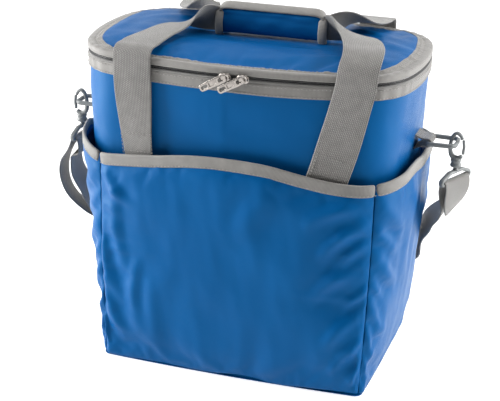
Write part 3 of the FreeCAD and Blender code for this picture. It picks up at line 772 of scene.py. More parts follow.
# Shares of the way across each pocket, and the heights of its top edge there.
POCKET_EDGE = {
    "front": ([0, 0.10, 0.22, 0.36, 0.50, 0.64, 0.76, 0.88, 1.0],
              [213.0, 216.5, 220.5, 226.0, 227.5, 225.5, 219.5, 214.5, 213.0]),
    "right": ([0, 0.12, 0.30, 0.45, 0.58, 0.75, 0.90, 1.0],
              [213.0, 217.5, 220.0, 217.5, 217.0, 215.0, 214.0, 213.0]),
    "left": ([0, 0.12, 0.28, 0.42, 0.56, 0.64, 0.76, 0.88, 1.0],
             [213.0, 214.0, 216.0, 217.5, 217.5, 220.5, 226.5, 222.5, 213.5]),
}
POCKET_COLUMNS = {"front": 84, "right": 56, "left": 56}


def pocket_columns(side, share, z):
    """The column at a share of the way across a pocket panel at height z."""
    near_right, near_left = seam_column(z, 1), seam_column(z, -1)
    half = AROUND / 2
    ends = {"front": (near_left, near_right), "right": (near_right, half - near_right),
            "left": (-half + abs(near_left), near_left)}[side]
    return ends[0] * (1 - share) + ends[1] * share


def pocket_top_at(side, share):
    """The height of a pocket's top edge."""
    places, heights = POCKET_EDGE[side]
    return hermite(np.array(places, float), np.array(heights, float)[:, None], np.atleast_1d(share))[:, 0]


def deepened(creases, factor):
    """The same creases, each deeper by a factor."""
    return [(start, end, half_width, depth * factor) for start, end, half_width, depth in creases]


def seam_creases(length):
    """Puckers that run out from the corner seams of the front pocket, and soft upright folds."""
    left, right = 0.0, length
    return deepened([
        ((right - 2, 196), (right - 62, 172), 7, 0.9), ((right - 3, 178), (right - 48, 140), 6, 1.0),
        ((right - 2, 160), (right - 34, 128), 5, 0.8), ((right - 2, 138), (right - 58, 96), 7, 1.0),
        ((right - 2, 112), (right - 30, 84), 4, 0.8), ((right - 2, 92), (right - 46, 50), 6, 0.9),
        ((right - 3, 62), (right - 40, 22), 6, 0.9), ((right - 4, 36), (right - 26, 8), 4, 0.7),
        ((left + 2, 200), (left + 40, 168), 6, 0.9), ((left + 3, 168), (left + 22, 60), 9, 1.3),
        ((left + 20, 190), (left + 30, 96), 9, 1.1), ((left + 44, 118), (left + 48, 34), 7, 0.9),
        ((left + 3, 90), (left + 34, 30), 6, 1.0), ((left + 2, 48), (left + 20, 8), 4, 0.9),
        ((left + 60, 100), (left + 66, 22), 12, 0.7), ((right - 90, 200), (right - 120, 150), 12, 0.6),
    ], 2.2)


def side_creases(length):
    """Puckers on a side pocket; the near seam is at the start."""
    return deepened([
        ((2, 198), (40, 160), 7, 1.0), ((2, 176), (30, 140), 5, 1.0), ((2, 150), (46, 102), 7, 1.2),
        ((2, 122), (26, 96), 4, 0.9), ((2, 100), (40, 56), 6, 1.1), ((2, 70), (26, 34), 5, 0.9),
        ((3, 40), (30, 10), 5, 0.8), ((60, 190), (74, 90), 12, 0.9), ((90, 150), (96, 60), 10, 0.7),
        ((length - 2, 180), (length - 40, 140), 6, 0.9), ((length - 2, 130), (length - 36, 90), 6, 0.9),
        ((length - 2, 80), (length - 30, 40), 5, 0.8),
    ], 1.6)


def make_pocket(side):
    """One pocket panel: a slack sheet sewn at its corner seams and foot, with a bound top edge."""
    count = POCKET_COLUMNS[side]
    share = np.linspace(0, 1, count + 1)[None]
    rise = np.concatenate([[0.0, 0.006, 0.018], np.linspace(0.035, 1, 50)])[:, None]
    top = pocket_top_at(side, share[0])[None]
    if side == "front":
        wave = 1.1 * ripple(share * 260, 0 * share, 21, 46.0)
    else:
        wave = 0.6 * ripple(share * 180, 0, 22, 40.0)
    foot = np.clip(1.9 + 1.9 * wave * np.sin(np.pi * share)**0.5, 0.2, 5.5)
    z = foot + (top - foot) * rise
    column = pocket_columns(side, share, z)
    length = {"front": 265.0, "right": 185.0, "left": 185.0}[side]
    along = share * length + 0 * z
    if side == "left":
        dents = folds(length - along, z, side_creases(length))
    else:
        dents = folds(along, z, seam_creases(length) if side == "front" else side_creases(length))
    out = POCKET_FLARE[0] + POCKET_FLARE[1] * z / TUB_TOP
    near_seam = np.minimum(along, length - along)
    pull = 2.2 * np.exp(-near_seam / 5.0)
    pucker = 0.45 * np.sin(z * 2 * np.pi / 13.0 + 2.0 * np.sin(z / 23.0)) * np.exp(-near_seam / 9.0)
    tuck = 1.6 * np.exp(-(z - foot) / 1.2)
    held = np.clip(near_seam / 3.0, 0, 1) * np.clip((top - z) / 14.0, 0, 1)
    belly = 1.6 * np.sin(np.pi * share)**0.7 * np.sin(np.pi * np.clip(rise, 0, 1))**0.8
    flat = wall(column, z, out + belly)
    piece = lattice(f"pocket_{side}", flat)
    loose = 1 - np.clip(near_seam / 4, 0, 1) * np.clip((top - z) / 10, 0, 1) * np.clip((z - foot) / 8, 0, 1)
    shift = settle(piece, np.clip(loose, 0, 1).ravel().round(1), 0.9, 0.018, 24, 5.0, bend=0.15)
    bpy.data.objects.remove(piece)
    shift = shift.reshape(flat.shape)
    normal = wall_normal(column, z)
    inward = (shift * normal).sum(-1, keepdims=True)
    shift = shift - normal * (inward - np.clip(inward, -2.2, 5.0))
    slack = ripple(along, z, 31, 60.0) * 0.9 + ripple(along * 1.5, z * 0.7, 32, 26.0) * 0.22
    detail = (1.7 * dents + slack) * held - pull + pucker - tuck
    points = flat + shift + normal * detail[..., None]
    piece = lattice(f"pocket_{side}", points)
    dress(piece, BLUE, "bag", (f"pocket_{side}_panel",), levels=1, thickness=1.1)
    return points, normal


# The folded tape's section: how far above the cloth's edge, and how far out from it.
BINDING_PROFILE = [(-10.6, -1.1), (-10.7, 0.6), (-10.3, 1.35), (-8.5, 1.5), (-5, 1.35), (-2.0, 1.5),
                   (-0.2, 1.5), (0.9, 1.0), (1.3, 0.0), (0.9, -1.1), (-0.2, -1.9), (-3, -2.1), (-8, -2.0),
                   (-10.2, -1.8)]


def make_pocket_binding(side, sheet, normal):
    """Folded tape over a pocket's top edge, stitched along its lower side."""
    edge = sheet[-1] - normal[-1] * 0.4
    out = normal[-1]
    up = np.cross(tangents(edge), out)
    up = up * np.sign(up[:, 2:])
    profile = np.array(BINDING_PROFILE)
    drop = 0.35 * ripple(np.arange(len(edge)) * 3.0, 0, 41, 30.0)
    points = (edge[None] + up[None] * profile[:, :1, None]
              + out[None] * (profile[:, 1:, None] + 0.5 + drop[None, :, None] * 0.4))
    piece = outward(lattice(f"pocket_{side}_trim", points, loop_v=True, caps=True))
    dress(piece, BINDING, "bag", (f"pocket_{side}_binding",), levels=1)
    line = edge - up * 8.9 + out * 2.0
    return line, out


# ---------------------------------------------------------------- rim, zip and lid


def make_rim():
    """The wide stitched tape round the rim, with small gathers at the corners."""
    low, high = RIM_LOW[2], RIM_HIGH[2]
    tall = high - low
    profile = np.array([(0.0, -0.4), (-0.1, 0.5), (0.25, 1.2), (1.2, 1.55), (2.4, 1.15), (4.5, 1.3), (7.0, 1.3),
                        (8.8, 1.15), (9.8, 1.55), (10.6, 1.35), (11.0, 0.7), (11.0, -0.3)])
    profile[:, 0] *= tall / 11.0
    column = np.linspace(0, AROUND, AROUND * 2, endpoint=False)[None]
    gather = 0.45 * near_corners(column) * np.sin(column * 2.3 + 0.5 * np.sin(column))
    sway = 0.5 * ripple(column * 3.2, 0, 51, 120.0)
    z = low + profile[:, :1] + sway
    points = wall(column, np.clip(z, 0, TUB_TOP - 1), profile[:, 1:] + gather * np.clip(profile[:, 1:], 0, 1))
    points[..., 2] = z
    piece = lattice("rim_tape", points, loop_u=True)
    dress(piece, BINDING, "bag", ("rim_binding",), levels=1, thickness=0.7)
    rows = []
    ring = np.append(column[0], AROUND)
    for height, proud in ((1.7, 1.55), (9.2, 1.5)):
        lift = np.append(z[0], z[0, 0]) + height * tall / 11.0
        line = wall(ring, lift, proud + np.append(gather[0], gather[0, 0]))
        rows.append((line, wall_normal(ring, lift)))
    return rows


HINGE_Y = span("lid_hinge_strip")[0][1] - 1.0


def zip_columns():
    """Columns of the rim that the zip covers, from its left end round the front to its right end."""
    behind = [k for k in range(AROUND) if RIM[k, 1] > HINGE_Y]
    first, last = min(behind), max(behind)
    return np.linspace(last + 1 - AROUND, first - 1, (first + AROUND - last - 2) * 3 + 1)


def band(name, columns, profile, material_used, body, stands_for=(), thickness=0.6, levels=1):
    """A strip that follows the rim, from (height, out) pairs."""
    profile = np.asarray(profile, float)
    points = wall(columns[None], np.minimum(profile[:, :1], TUB_TOP), profile[:, 1:])
    points[..., 2] = profile[:, :1]
    piece = lattice(name, points)
    return dress(piece, material_used, body, stands_for, levels=levels, thickness=thickness)


def coil(name, columns, z, body, node):
    """A zip chain half: a ridge with a tooth every millimetre and a half."""
    count = len(columns) * 3
    fine = np.linspace(columns[0], columns[-1], count)
    a = np.linspace(0, 2 * np.pi, 8, endpoint=False)[:, None]
    tooth = 1 + 0.22 * np.cos(np.arange(count) * np.pi)[None]
    points = wall(fine[None] + 0 * a, TUB_TOP + 0 * a, 0.1 + 0.75 * np.cos(a) * tooth)
    points[..., 2] = z + 0.62 * np.sin(a) * tooth
    piece = outward(lattice(name, points, loop_v=True, caps=True))
    return dress(piece, COIL, body, (node,))


def make_zip():
    """Both zip tapes and both halves of the chain."""
    columns = zip_columns()
    low = TAPE_LOW[2]
    top = TAPE_HIGH[2]
    profile = [(low, 0.3), (low + 1.0, 0.9), (top - 1.0, 1.0), (top, 0.75), (top + 0.25, 0.2)]
    band("tape_lower", columns, profile, TAPE, "bag", ("zip_tape_lower",))
    lower, upper = span("zip_coil_lower"), span("zip_coil_upper")
    coil("coil_lower", columns, (lower[0][2] + lower[1][2]) / 2, "bag", "zip_coil_lower")
    coil("coil_upper", columns, (upper[0][2] + upper[1][2]) / 2, "lid", "zip_coil_upper")
    low, top = span("zip_tape_upper")[0][2], LID_LOW[2] + 1.2
    band("tape_upper", columns, [(low - 0.1, 0.2), (low + 0.1, 0.75), (low + 0.9, 0.95), (top, 0.7)],
         TAPE, "lid", ("zip_tape_upper",))


def make_hinge():
    """Cloth that joins the lid to the back of the rim."""
    behind = [k for k in range(AROUND) if RIM[k, 1] > HINGE_Y]
    columns = np.linspace(min(behind) - 1.5, max(behind) + 1.5, 90)
    low, high = TAPE_LOW[2] - 0.5, LID_LOW[2] + 1.5
    profile = np.array([(low, 0.2), (low + 2, 0.9), ((low + high) / 2, 0.75), (high - 1.5, 0.6), (high, 0.1)])
    piece = band("hinge_cloth", columns, profile, TAPE, None, ("lid_hinge_strip",))
    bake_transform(piece)


# The lid's border, at its narrowest.
LID_EDGE = 7.6


def height_over(piece):
    """A function that gives the height of a piece's surface, in millimetres, at a place."""
    corners = [Vector(p) for p in positions(piece.data)]
    tree = BVHTree.FromPolygons(corners, [list(face.vertices) for face in piece.data.polygons])

    def height(x, y):
        hit = tree.ray_cast(Vector((x, y, 1000)), Vector((0, 0, -1)))[0]
        return hit.z if hit else -1000.0
    return height


def make_lid():
    """The padded lid: a dome settled by cloth, its bound edge and its lining."""
    edge_z = LID_HIGH[2]
    foam_top = span("lid_foam")[1][2]
    patch = coons(RIM - RIM_OUT * 0.4, edge_z, FRONT_COUNT, SIDE_COUNT)
    inside = edge_distance(patch, RIM)
    x, y = patch[..., 0], patch[..., 1]
    least = foam_top + 0.9 - np.interp(inside, [2, 10, 35, 50], [4.2, 2.8, 0.64, 0])
    lift = 3.4 * (1 - (1 - np.clip(inside / 55, 0, 1))**2)
    by_grip = np.exp(-((x - GRIP_MIDDLE[0]) / 72)**4 - ((y - GRIP_MIDDLE[1] - 3) / 26)**4)
    puff = 2.4 * np.clip((inside - 6) / 30, 0, 1) * (1 - by_grip)
    patch[..., 2] = edge_z - 1.1 + 0.9 * np.clip(inside / 4, 0, 1) + lift + puff
    piece = lattice("lid_top", patch)
    held = np.clip(1 - (inside - 4) / 6, 0, 1).ravel().round(1)
    shift = settle(piece, held, 0.3, 0.022, 22, 3.0, bend=0.2).reshape(patch.shape)
    bpy.data.objects.remove(piece)
    shift[..., 2] -= 0.5 * np.clip(inside / 20, 0, 1)
    creases = [((-120, -50), (-60, -30), 8, 1.2), ((-100, -74), (-40, -62), 7, 1.0),
               ((40, -70), (110, -40), 9, 1.2), ((90, -20), (136, -52), 8, 1.3),
               ((-20, -84), (60, -66), 8, 0.9), ((-60, 25), (-130, 6), 9, 1.1),
               ((70, 42), (128, 22), 8, 1.3), ((20, 64), (90, 52), 8, 0.9), ((-30, 52), (-96, 62), 8, 1.0),
               ((-135, -30), (-146, 20), 9, 1.1), ((100, 10), (148, -10), 9, 1.4),
               ((-70, -20), (-60, 30), 10, 0.9)]
    wrinkle = 0.9 * ripple(x, y * 1.4, 61, 80.0) + 0.35 * ripple(x * 1.3, y, 62, 34.0) + folds(x, y, creases)
    points = patch + shift
    points[..., 2] += np.clip(inside / 16, 0, 1) * (1 - 0.85 * by_grip) * wrinkle
    points[..., 2] = np.maximum(points[..., 2], least)
    ceiling = np.where(by_grip > 0.02, DOME_HIGH[2] + 0.25 + 3.5 * (1 - by_grip)**2, 400)
    points[..., 2] = np.minimum(points[..., 2], ceiling)
    top = lattice("lid_cover", points)
    dress(top, BLUE, "lid", ("lid_panel",), levels=1, thickness=0.5)
    low = LID_LOW[2]
    column = np.linspace(0, AROUND, AROUND * 2, endpoint=False)[None]
    broad = LID_EDGE + 6.0 * np.abs(wall_normal(column[0], 0 * column[0] + TUB_TOP)[:, 0])**1.6
    rise = [(low, 0.3), (low - 0.05, 1.1), (low + 0.8, 1.6), (low + 2.2, 1.35), (edge_z - 1.6, 1.5),
            (edge_z - 0.3, 1.35), (edge_z + 0.75, 0.4), (edge_z + 1.0, -1.2)]
    across = [(0.95, 0.40), (0.30, 0.45), (0.95, 0.50), (0.95, 0.72), (0.75, 0.96), (0.0, 1.0)]
    profile = np.array([z for z, _ in rise] + [edge_z + z for z, _ in across], float)[:, None]
    reach = np.array([out for _, out in rise] + [0] * len(across), float)[:, None] + 0 * column
    reach[len(rise):] = -broad * np.array([part for _, part in across])[:, None]
    sway = 0.35 * ripple(column * 3.2, 0, 71, 70.0)
    gather = 0.35 * near_corners(column) * np.sin(column * 2.7)
    upper = np.clip((profile[:, :1] - low - 3) / 3, 0, 1)
    points = wall(column, TUB_TOP + 0 * profile[:, :1], reach - sway * upper * (reach < 0))
    points[..., 2] = profile[:, :1] + gather * upper
    cover = height_over(top)
    for row, (above, _) in enumerate(across, len(rise)):
        under = np.array([cover(*place) for place in points[row, :, :2]])
        points[row, :, 2] = np.maximum(points[row, :, 2] * (above > 0), under + above * 0.75 - 0.12)
    trim = lattice("lid_trim", points, loop_u=True)
    dress(trim, BINDING, "lid", ("lid_binding",), levels=1, thickness=0.5)
    sewn = len(rise) + 3
    line = np.concatenate([points[sewn], points[sewn, :1]]) + [0, 0, 0.2]
    rows = [(line, same([0, 0, 1.0], line))]
    stitched("lid_stitches", rows, GREY_THREAD, "lid")
    under = coons(RIM - RIM_OUT * 2.2, LID_LINER_LOW[2] + 0.35, FRONT_COUNT, SIDE_COUNT)
    deep = edge_distance(under, RIM)
    under[..., 2] += 0.5 * np.clip(deep / 12, 0, 1) * (1 + 0.9 * ripple(under[..., 0], under[..., 1], 81, 46.0))
    under[..., 2] = np.minimum(under[..., 2], span("lid_foam")[0][2] - 0.5)
    lining = lattice("lid_lining", under[:, ::-1])
    dress(lining, LINER, "lid", ("lid_liner",), levels=1, thickness=0.35)
    side = wall(ALL, TUB_TOP + 0 * ALL, np.array([[-2.4], [-0.6], [-0.4], [-0.6]]))
    liner_z = LID_LINER_LOW[2]
    side[..., 2] = np.array([liner_z + 0.5, liner_z + 0.9, low, low + 1.0])[:, None]
    skirt = lattice("lid_skirt", side, loop_u=True)
    dress(skirt, TAPE, "lid", levels=1, thickness=0.3)


# ---------------------------------------------------------------- inside


def make_liner():
    """The heat-sealed lining: walls, floor and a flange over the top of the foam."""
    gap = 8.9
    floor = LINER_LOW[2] + 1.0
    heights = np.concatenate([[floor, floor + 2, floor + 6], np.linspace(floor + 12, TUB_TOP - 5, 40)])
    outs = np.concatenate([[-gap - 3.2, -gap - 0.9, -gap - 0.3], np.full(40, -gap)])
    heights = np.concatenate([heights, TUB_TOP - np.array([1.6, 0.4, 0.1, 0.1, 0.5])])
    outs = np.concatenate([outs, [-gap, -gap + 0.5, -gap + 1.8, -1.8, -0.9]])
    z = heights[:, None] + 0 * ALL
    fade = np.clip((z - floor) / 25, 0, 1) * np.clip((TUB_TOP - 12 - z) / 20, 0, 1)
    slack = 0.5 * ripple(ALL * 3.2, z * 1.2, 91, 60.0) * fade
    points = wall(ALL, z, outs[:, None] - abs(slack))
    lining = lattice("liner_walls", points[:, ::-1], loop_u=True)
    dress(lining, LINER, "bag", ("liner_tub",), levels=1, thickness=0.4, inward=1.0)
    ring = wall(ALL, floor + 0 * ALL, -gap - 3.0 + 0 * ALL)[0, :, :2]
    patch = coons(ring, floor, FRONT_COUNT, SIDE_COUNT)
    rumple = 1 + ripple(patch[..., 0], patch[..., 1], 95, 50.0)
    patch[..., 2] += 0.4 * np.clip(edge_distance(patch, ring) / 15, 0, 1) * rumple
    bottom = lattice("liner_floor", patch)
    dress(bottom, LINER, "bag", levels=1, thickness=0.4)


# ---------------------------------------------------------------- webbing

WEB_PROFILE = [(-0.5, 0.0), (-0.492, 0.62), (-0.465, 0.92), (-0.43, 0.78), (-0.25, 0.8), (0, 0.8), (0.25, 0.8),
               (0.43, 0.78), (0.465, 0.92), (0.492, 0.62), (0.5, 0.0), (0.492, -0.62), (0.465, -0.92),
               (0.43, -0.78), (0.25, -0.8), (0, -0.8), (-0.25, -0.8), (-0.43, -0.78), (-0.465, -0.92),
               (-0.492, -0.62)]


def ribbon(name, stations, thick=WEB_THICK, spacing=3.0, seed=0):
    """Flat webbing through stations of (centre, width direction, width), returned with its frames."""
    rows = [np.concatenate([centre, unit(across), [width]]) for centre, across, width in stations]
    line = through(rows, spacing)
    centres, sides, widths = line[:, :3], line[:, 3:6], line[:, 6]
    run = tangents(centres)
    side = unit(sides - run * (sides * run).sum(-1, keepdims=True))
    face = np.cross(run, side)
    place = np.arange(len(centres)) * spacing
    profile = np.array(WEB_PROFILE)
    wobble = 0.25 * ripple(place, 0, 200 + seed, 55.0) * np.clip(place / 12, 0, 1)
    points = []
    for across, through_part in profile:
        points.append(centres + side * (across * widths)[:, None]
                      + face * (through_part * thick / WEB_THICK + wobble * (2 * across))[:, None])
    piece = outward(lattice(name, np.array(points), loop_v=True, caps=True))
    return piece, centres, side, face


LEG_FRONT = span("front_handle_leg_left")[0][1] + 2.0
LEG_REAR = span("rear_handle_leg_left")[1][1] - 2.0


def leg_stations(facing, foot_x, head_x, foot_width=WEB):
    """A handle's leg from inside the pocket to the rim, as the frame has it."""
    lean = head_x - foot_x
    bowed = (1, -facing * math.copysign(0.12, foot_x), 0)
    y = LEG_REAR if facing > 0 else LEG_FRONT
    return [((foot_x, y - facing * 1.5, 188), bowed, foot_width),
            ((foot_x + lean * 0.02, y - facing * 0.3, 204), bowed, foot_width),
            ((foot_x + lean * 0.22, y + facing * 0.5, 222), bowed, foot_width + 0.5),
            ((foot_x + lean * 0.55, y + facing * 1.5, 254), (1, -facing * math.copysign(0.05, foot_x), 0),
             (foot_width + WEB) / 2 + 1),
            ((foot_x + lean * 0.82, y + facing * 1.6, 284), (1, 0, 0), WEB),
            ((head_x, y + facing * 0.2, 309.5), (1, 0, 0), WEB)]


def turned_over(stations):
    """The same run of webbing from its other end."""
    return [(centre, tuple(-c for c in across), width) for centre, across, width in stations[::-1]]


GRIP_MIDDLE = (GRIP_LOW + GRIP_HIGH) / 2
GRIP_HALF = (GRIP_HIGH[0] - GRIP_LOW[0]) / 2
GRIP_DROP = 6.5


def grip_drop(off):
    """How far the wrap's top falls near its rounded ends, at a distance from its middle."""
    near_end = np.clip((abs(off) - GRIP_HALF + 11) / 11, 0, 1)
    return GRIP_DROP * (1 - np.sqrt(np.maximum(1 - near_end**2, 0)))


# The handles' width where the grip draws them in.
NARROW = 24.0


def make_handles():
    """Both carrying handles, each one length of webbing from foot to foot through the grip."""
    mid_x, mid_z = GRIP_MIDDLE[0], GRIP_MIDDLE[2]
    left_end, right_end = mid_x - GRIP_HALF, mid_x + GRIP_HALF
    front = leg_stations(-1, -86, -91, 29) + [
        ((-91, -98.9, 314.5), (1, 0, 0), WEB),
        ((-90.5, -96.0, 318.6), (1, 0.02, 0), WEB),
        ((-88.5, -84, 321.0), (1, 0.10, 0), WEB),
        ((-84, -62, 322.6), (1, -0.16, 0.04), WEB - 1),
        ((-71, -32, 326.0), (0.85, -0.5, 0.16), WEB - 3),
        ((left_end - 10, -11, 329.5), (0.25, -0.35, 0.9), NARROW + 7),
        ((left_end + 4, -5.0, mid_z - 2), (0, 0, 1), NARROW - 4),
        ((mid_x, -4.6, mid_z), (0, 0, 1), NARROW),
        ((right_end - 4, -5.0, mid_z - 2), (0, 0, 1), NARROW - 4),
        ((right_end + 10, -10, 330.5), (-0.25, -0.35, 0.88), NARROW + 5),
        ((97, -32, 333.0), (-0.75, -0.5, 0.3), WEB - 4),
        ((114, -62, 333.4), (-1, -0.12, 0.05), WEB - 1),
        ((120.5, -86, 330.2), (-1, 0, 0), WEB),
        ((120.5, -95.5, 324.0), (-1, 0, 0), WEB),
        ((119.6, -98.7, 316.5), (-1, 0, 0), WEB),
    ] + turned_over(leg_stations(-1, 90, 119))
    rear = leg_stations(1, -88, -91) + [
        ((-91, LEG_REAR, 314.5), (1, 0, 0), WEB),
        ((-90.5, LEG_REAR - 3, 318.2), (1, 0, 0), WEB),
        ((-88, LEG_REAR - 17, 321.0), (1, 0.05, 0), WEB),
        ((-84, 50, 322.6), (1, 0.2, 0), WEB - 1),
        ((-70, 27, 327.0), (0.85, 0.5, -0.12), WEB - 3),
        ((left_end - 10, 8, 330.0), (0.25, 0.35, -0.9), NARROW + 7),
        ((left_end + 4, -1.4, mid_z - 2), (0, 0.1, -1), NARROW - 4),
        ((mid_x, -1.2, mid_z), (0, 0.1, -1), NARROW),
        ((right_end - 4, -1.4, mid_z - 2), (0, 0.1, -1), NARROW - 4),
        ((right_end + 10, 8, 330.0), (-0.25, 0.35, -0.88), NARROW + 5),
        ((89, 29, 327.5), (-0.85, 0.5, -0.12), WEB - 3),
        ((93, 52, 323.0), (-1, 0.1, 0), WEB - 1),
        ((92, LEG_REAR - 16, 320.6), (-1, 0, 0), WEB),
        ((91.5, LEG_REAR - 3, 318.2), (-1, 0, 0), WEB),
        ((91, LEG_REAR, 314.5), (-1, 0, 0), WEB),
    ] + turned_over(leg_stations(1, 88, 91))
    made = []
    for body, stations in (("front_handle", front), ("rear_handle", rear)):
        name = f"{body}_web"
        piece, *lines = ribbon(name, stations, seed=len(name))
        nodes = [f"{body}_{part}" for part in ("leg_left", "leg_right", "strap")]
        dress(piece, WEBBING, None, nodes, levels=1)
        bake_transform(piece)
        made.append(lines)
    rows = []
    for centres, side, face in made:
        for end in (slice(0, 18), slice(-18, None)):
            part = [a[end] for a in (centres, side, face)]
            if end.start is None or end.start < 0:
                part = [a[::-1] for a in part]
            outer = part[2] * np.sign((part[2][:, 1:2]) * part[0][:, 1:2])
            for across in (-15.5, 15.5):
                rows.append((part[0] + part[1] * across + outer * 0.85, outer))
            for k in (11, 17):
                cross = part[0][k] + np.linspace(-15.5, 15.5, 10)[:, None] * part[1][k] + outer[k] * 0.85
                rows.append((cross, np.repeat(outer[k:k + 1], 10, 0)))
    stitched("handle_stitches", rows, GREY_THREAD, "bag")


# ---------------------------------------------------------------- grip


def grip_section(out):
    """The wrap's section from its front hem over the top to its back hem, moved out by a distance."""
    low, high = GRIP_LOW[2], GRIP_HIGH[2]
    front, back = GRIP_LOW[1], GRIP_BACK_HIGH[1]
    middle = (front + back) / 2
    half = (back - front) / 2
    shape = [(front + 1.5, low + 0.6), (front - 0.6, low + 4), (front - 1.3, low + 10), (front - 1.0, low + 16),
             (front + 0.4, low + 21.5), (front + 3.0, high - 2.4), (middle - 1, high - 0.6),
             (back - 3.0, high - 1.8), (back - 0.4, low + 22), (back + 0.6, low + 15), (back + 0.5, low + 8),
             (back - 0.6, low + 1.0)]
    points = np.array([(0, y, z) for y, z in shape])
    line = through(points, 1.6)
    run = tangents(line)
    normal = np.cross(run, [1.0, 0, 0])
    centre = np.array([0, middle, low + half * 1.6])
    normal *= np.sign((normal * (line - centre)).sum(-1, keepdims=True))
    return line + normal * out, normal


def make_grip():
    """The padded wrap that holds the two handles together, settled by cloth, then creased."""
    thick = 4.2
    mid_x = GRIP_MIDDLE[0]
    outer, normal = grip_section(0.0)
    inner = outer - normal * thick
    across = np.linspace(-GRIP_HALF, GRIP_HALF, 60)
    ring = np.vstack([outer, inner[::-1]])
    points = ring[:, None] + across[None, :, None] * np.array([1.0, 0, 0])
    points[..., 0] += mid_x
    body = outward(lattice("grip_start", points, loop_v=True, caps=True))
    remesh = body.modifiers.new("voxels", "REMESH")
    remesh.mode = "VOXEL"
    remesh.voxel_size = 2.6 * MM
    mesh = evaluated(body)
    bpy.data.objects.remove(body)
    piece = bpy.data.objects.new("grip_pad", mesh)
    bpy.context.scene.collection.objects.link(piece)
    start = positions(mesh)
    shift = settle(piece, None, 4.0, 0.0, 20, 2.6, bend=0.5)
    inside = ((start[:, 1] > GRIP_LOW[1] + thick - 1) & (start[:, 1] < GRIP_BACK_HIGH[1] - thick + 1)
              & (start[:, 2] < GRIP_HIGH[2] - 3))
    shift[inside] *= 0.15
    moved = start + shift
    floor = DOME_HIGH[2] + 0.5
    lifted = np.clip((moved[:, 2] - floor) / (GRIP_HIGH[2] - floor), 0, 1)
    moved[:, 2] = np.maximum(moved[:, 2] - grip_drop(moved[:, 0] - mid_x) * lifted, floor)
    outer_face = (moved[:, 1] < GRIP_LOW[1] + 4)
    crease_z = GRIP_LOW[2] + 19.0 - 0.012 * (moved[:, 0] - mid_x) + 0.5 * np.sin(moved[:, 0] / 9.0)
    over = moved[:, 2] - crease_z
    dent = 1.1 * np.exp(-(over / 1.3)**2) - 0.5 * np.exp(-((over - 4) / 3.0)**2)
    moved[:, 1] += dent * outer_face
    lump = 0.35 * ripple(moved[:, 0], moved[:, 2] * 2, 301, 22.0)
    moved[:, 1] += lump * np.sign(moved[:, 1] - GRIP_MIDDLE[1] - 4) * ~inside
    mesh.vertices.foreach_set("co", (moved * MM).astype(np.float32).ravel())
    mesh.update()
    mesh.shade_smooth()
    dress(piece, BLUE_SOLID, None,
          ("grip_back_pad", "grip_front_pad"), levels=1)
    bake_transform(piece)
    make_grip_binding(mid_x)


def make_grip_binding(mid_x):
    """Folded tape on the wrap's two ends and along its top edge, and the closure's two strips."""
    line, normal = grip_section(0.9)
    half = GRIP_HALF + 0.6
    profile = np.array([(-6.4, 0.5), (-6.0, 1.3), (-3.0, 1.7), (0.0, 1.6), (1.4, 1.1), (1.9, 0.0), (1.7, -1.6),
                        (1.4, -3.6), (0, -5.2), (-2.4, -5.4), (-3.0, -4.8), (0.2, -4.4), (0.6, -1.0),
                        (-5.6, -0.6)])
    trims = []
    floor = DOME_HIGH[2] + 0.5
    for sign in (-1, 1):
        centres = line + [mid_x + sign * half, 0, 0]
        centres[:, 2] -= GRIP_DROP * 0.85 * np.clip((centres[:, 2] - floor) / (GRIP_HIGH[2] - floor), 0, 1)
        points = (centres[None] + profile[:, :1, None] * np.array([sign, 0, 0.0])
                  + profile[:, 1:, None] * normal[None])
        trims.append(outward(lattice(f"grip_end_{sign}", points, loop_v=True, caps=True)))
    top = int(len(line) * 0.455)
    strip = np.array([(-5.2, -1.2), (-5.0, 0.2), (-2.5, 1.5), (2.5, 1.6), (5.0, 0.8), (5.4, -0.8), (2, -1.6),
                      (-2, -1.4)])
    run = tangents(line)[top]
    width = np.linspace(-half + 1, half - 1, 60)
    fall = np.array([0, 0, -1.0]) * grip_drop(width)[:, None]
    points = (line[top] + [mid_x, 0, 0] + width[None, :, None] * np.array([1.0, 0, 0]) + fall[None]
              + strip[:, :1, None] * run + strip[:, 1:, None] * normal[top])
    trims.append(outward(lattice("grip_top", points, loop_v=True, caps=True)))
    piece = joined("grip_trim", trims)
    dress(piece, BINDING, None, levels=1)
    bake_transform(piece)
    for name, node in (("grip_hook_tape", "grip_hook_strip"), ("grip_loop_tape", "grip_loop_strip")):
        low, high = span(node)
        count_x, count_z = 40, 6
        x = np.linspace(low[0], high[0], count_x)[None]
        z = np.linspace(low[2], high[2], count_z)[:, None]
        y = (low[1] + high[1]) / 2 + 0.1 * np.sin(x * 2.1) * np.sin(z * 1.7)
        points = np.stack(np.broadcast_arrays(x, y, z), -1)
        strip_piece = lattice(name, points)
        thin = min(0.5, high[1] - low[1])
        dress(strip_piece, TAPE, "grip_flap", (node,), levels=1, thickness=thin, inward=0.0)


# ---------------------------------------------------------------- zip sliders and pulls


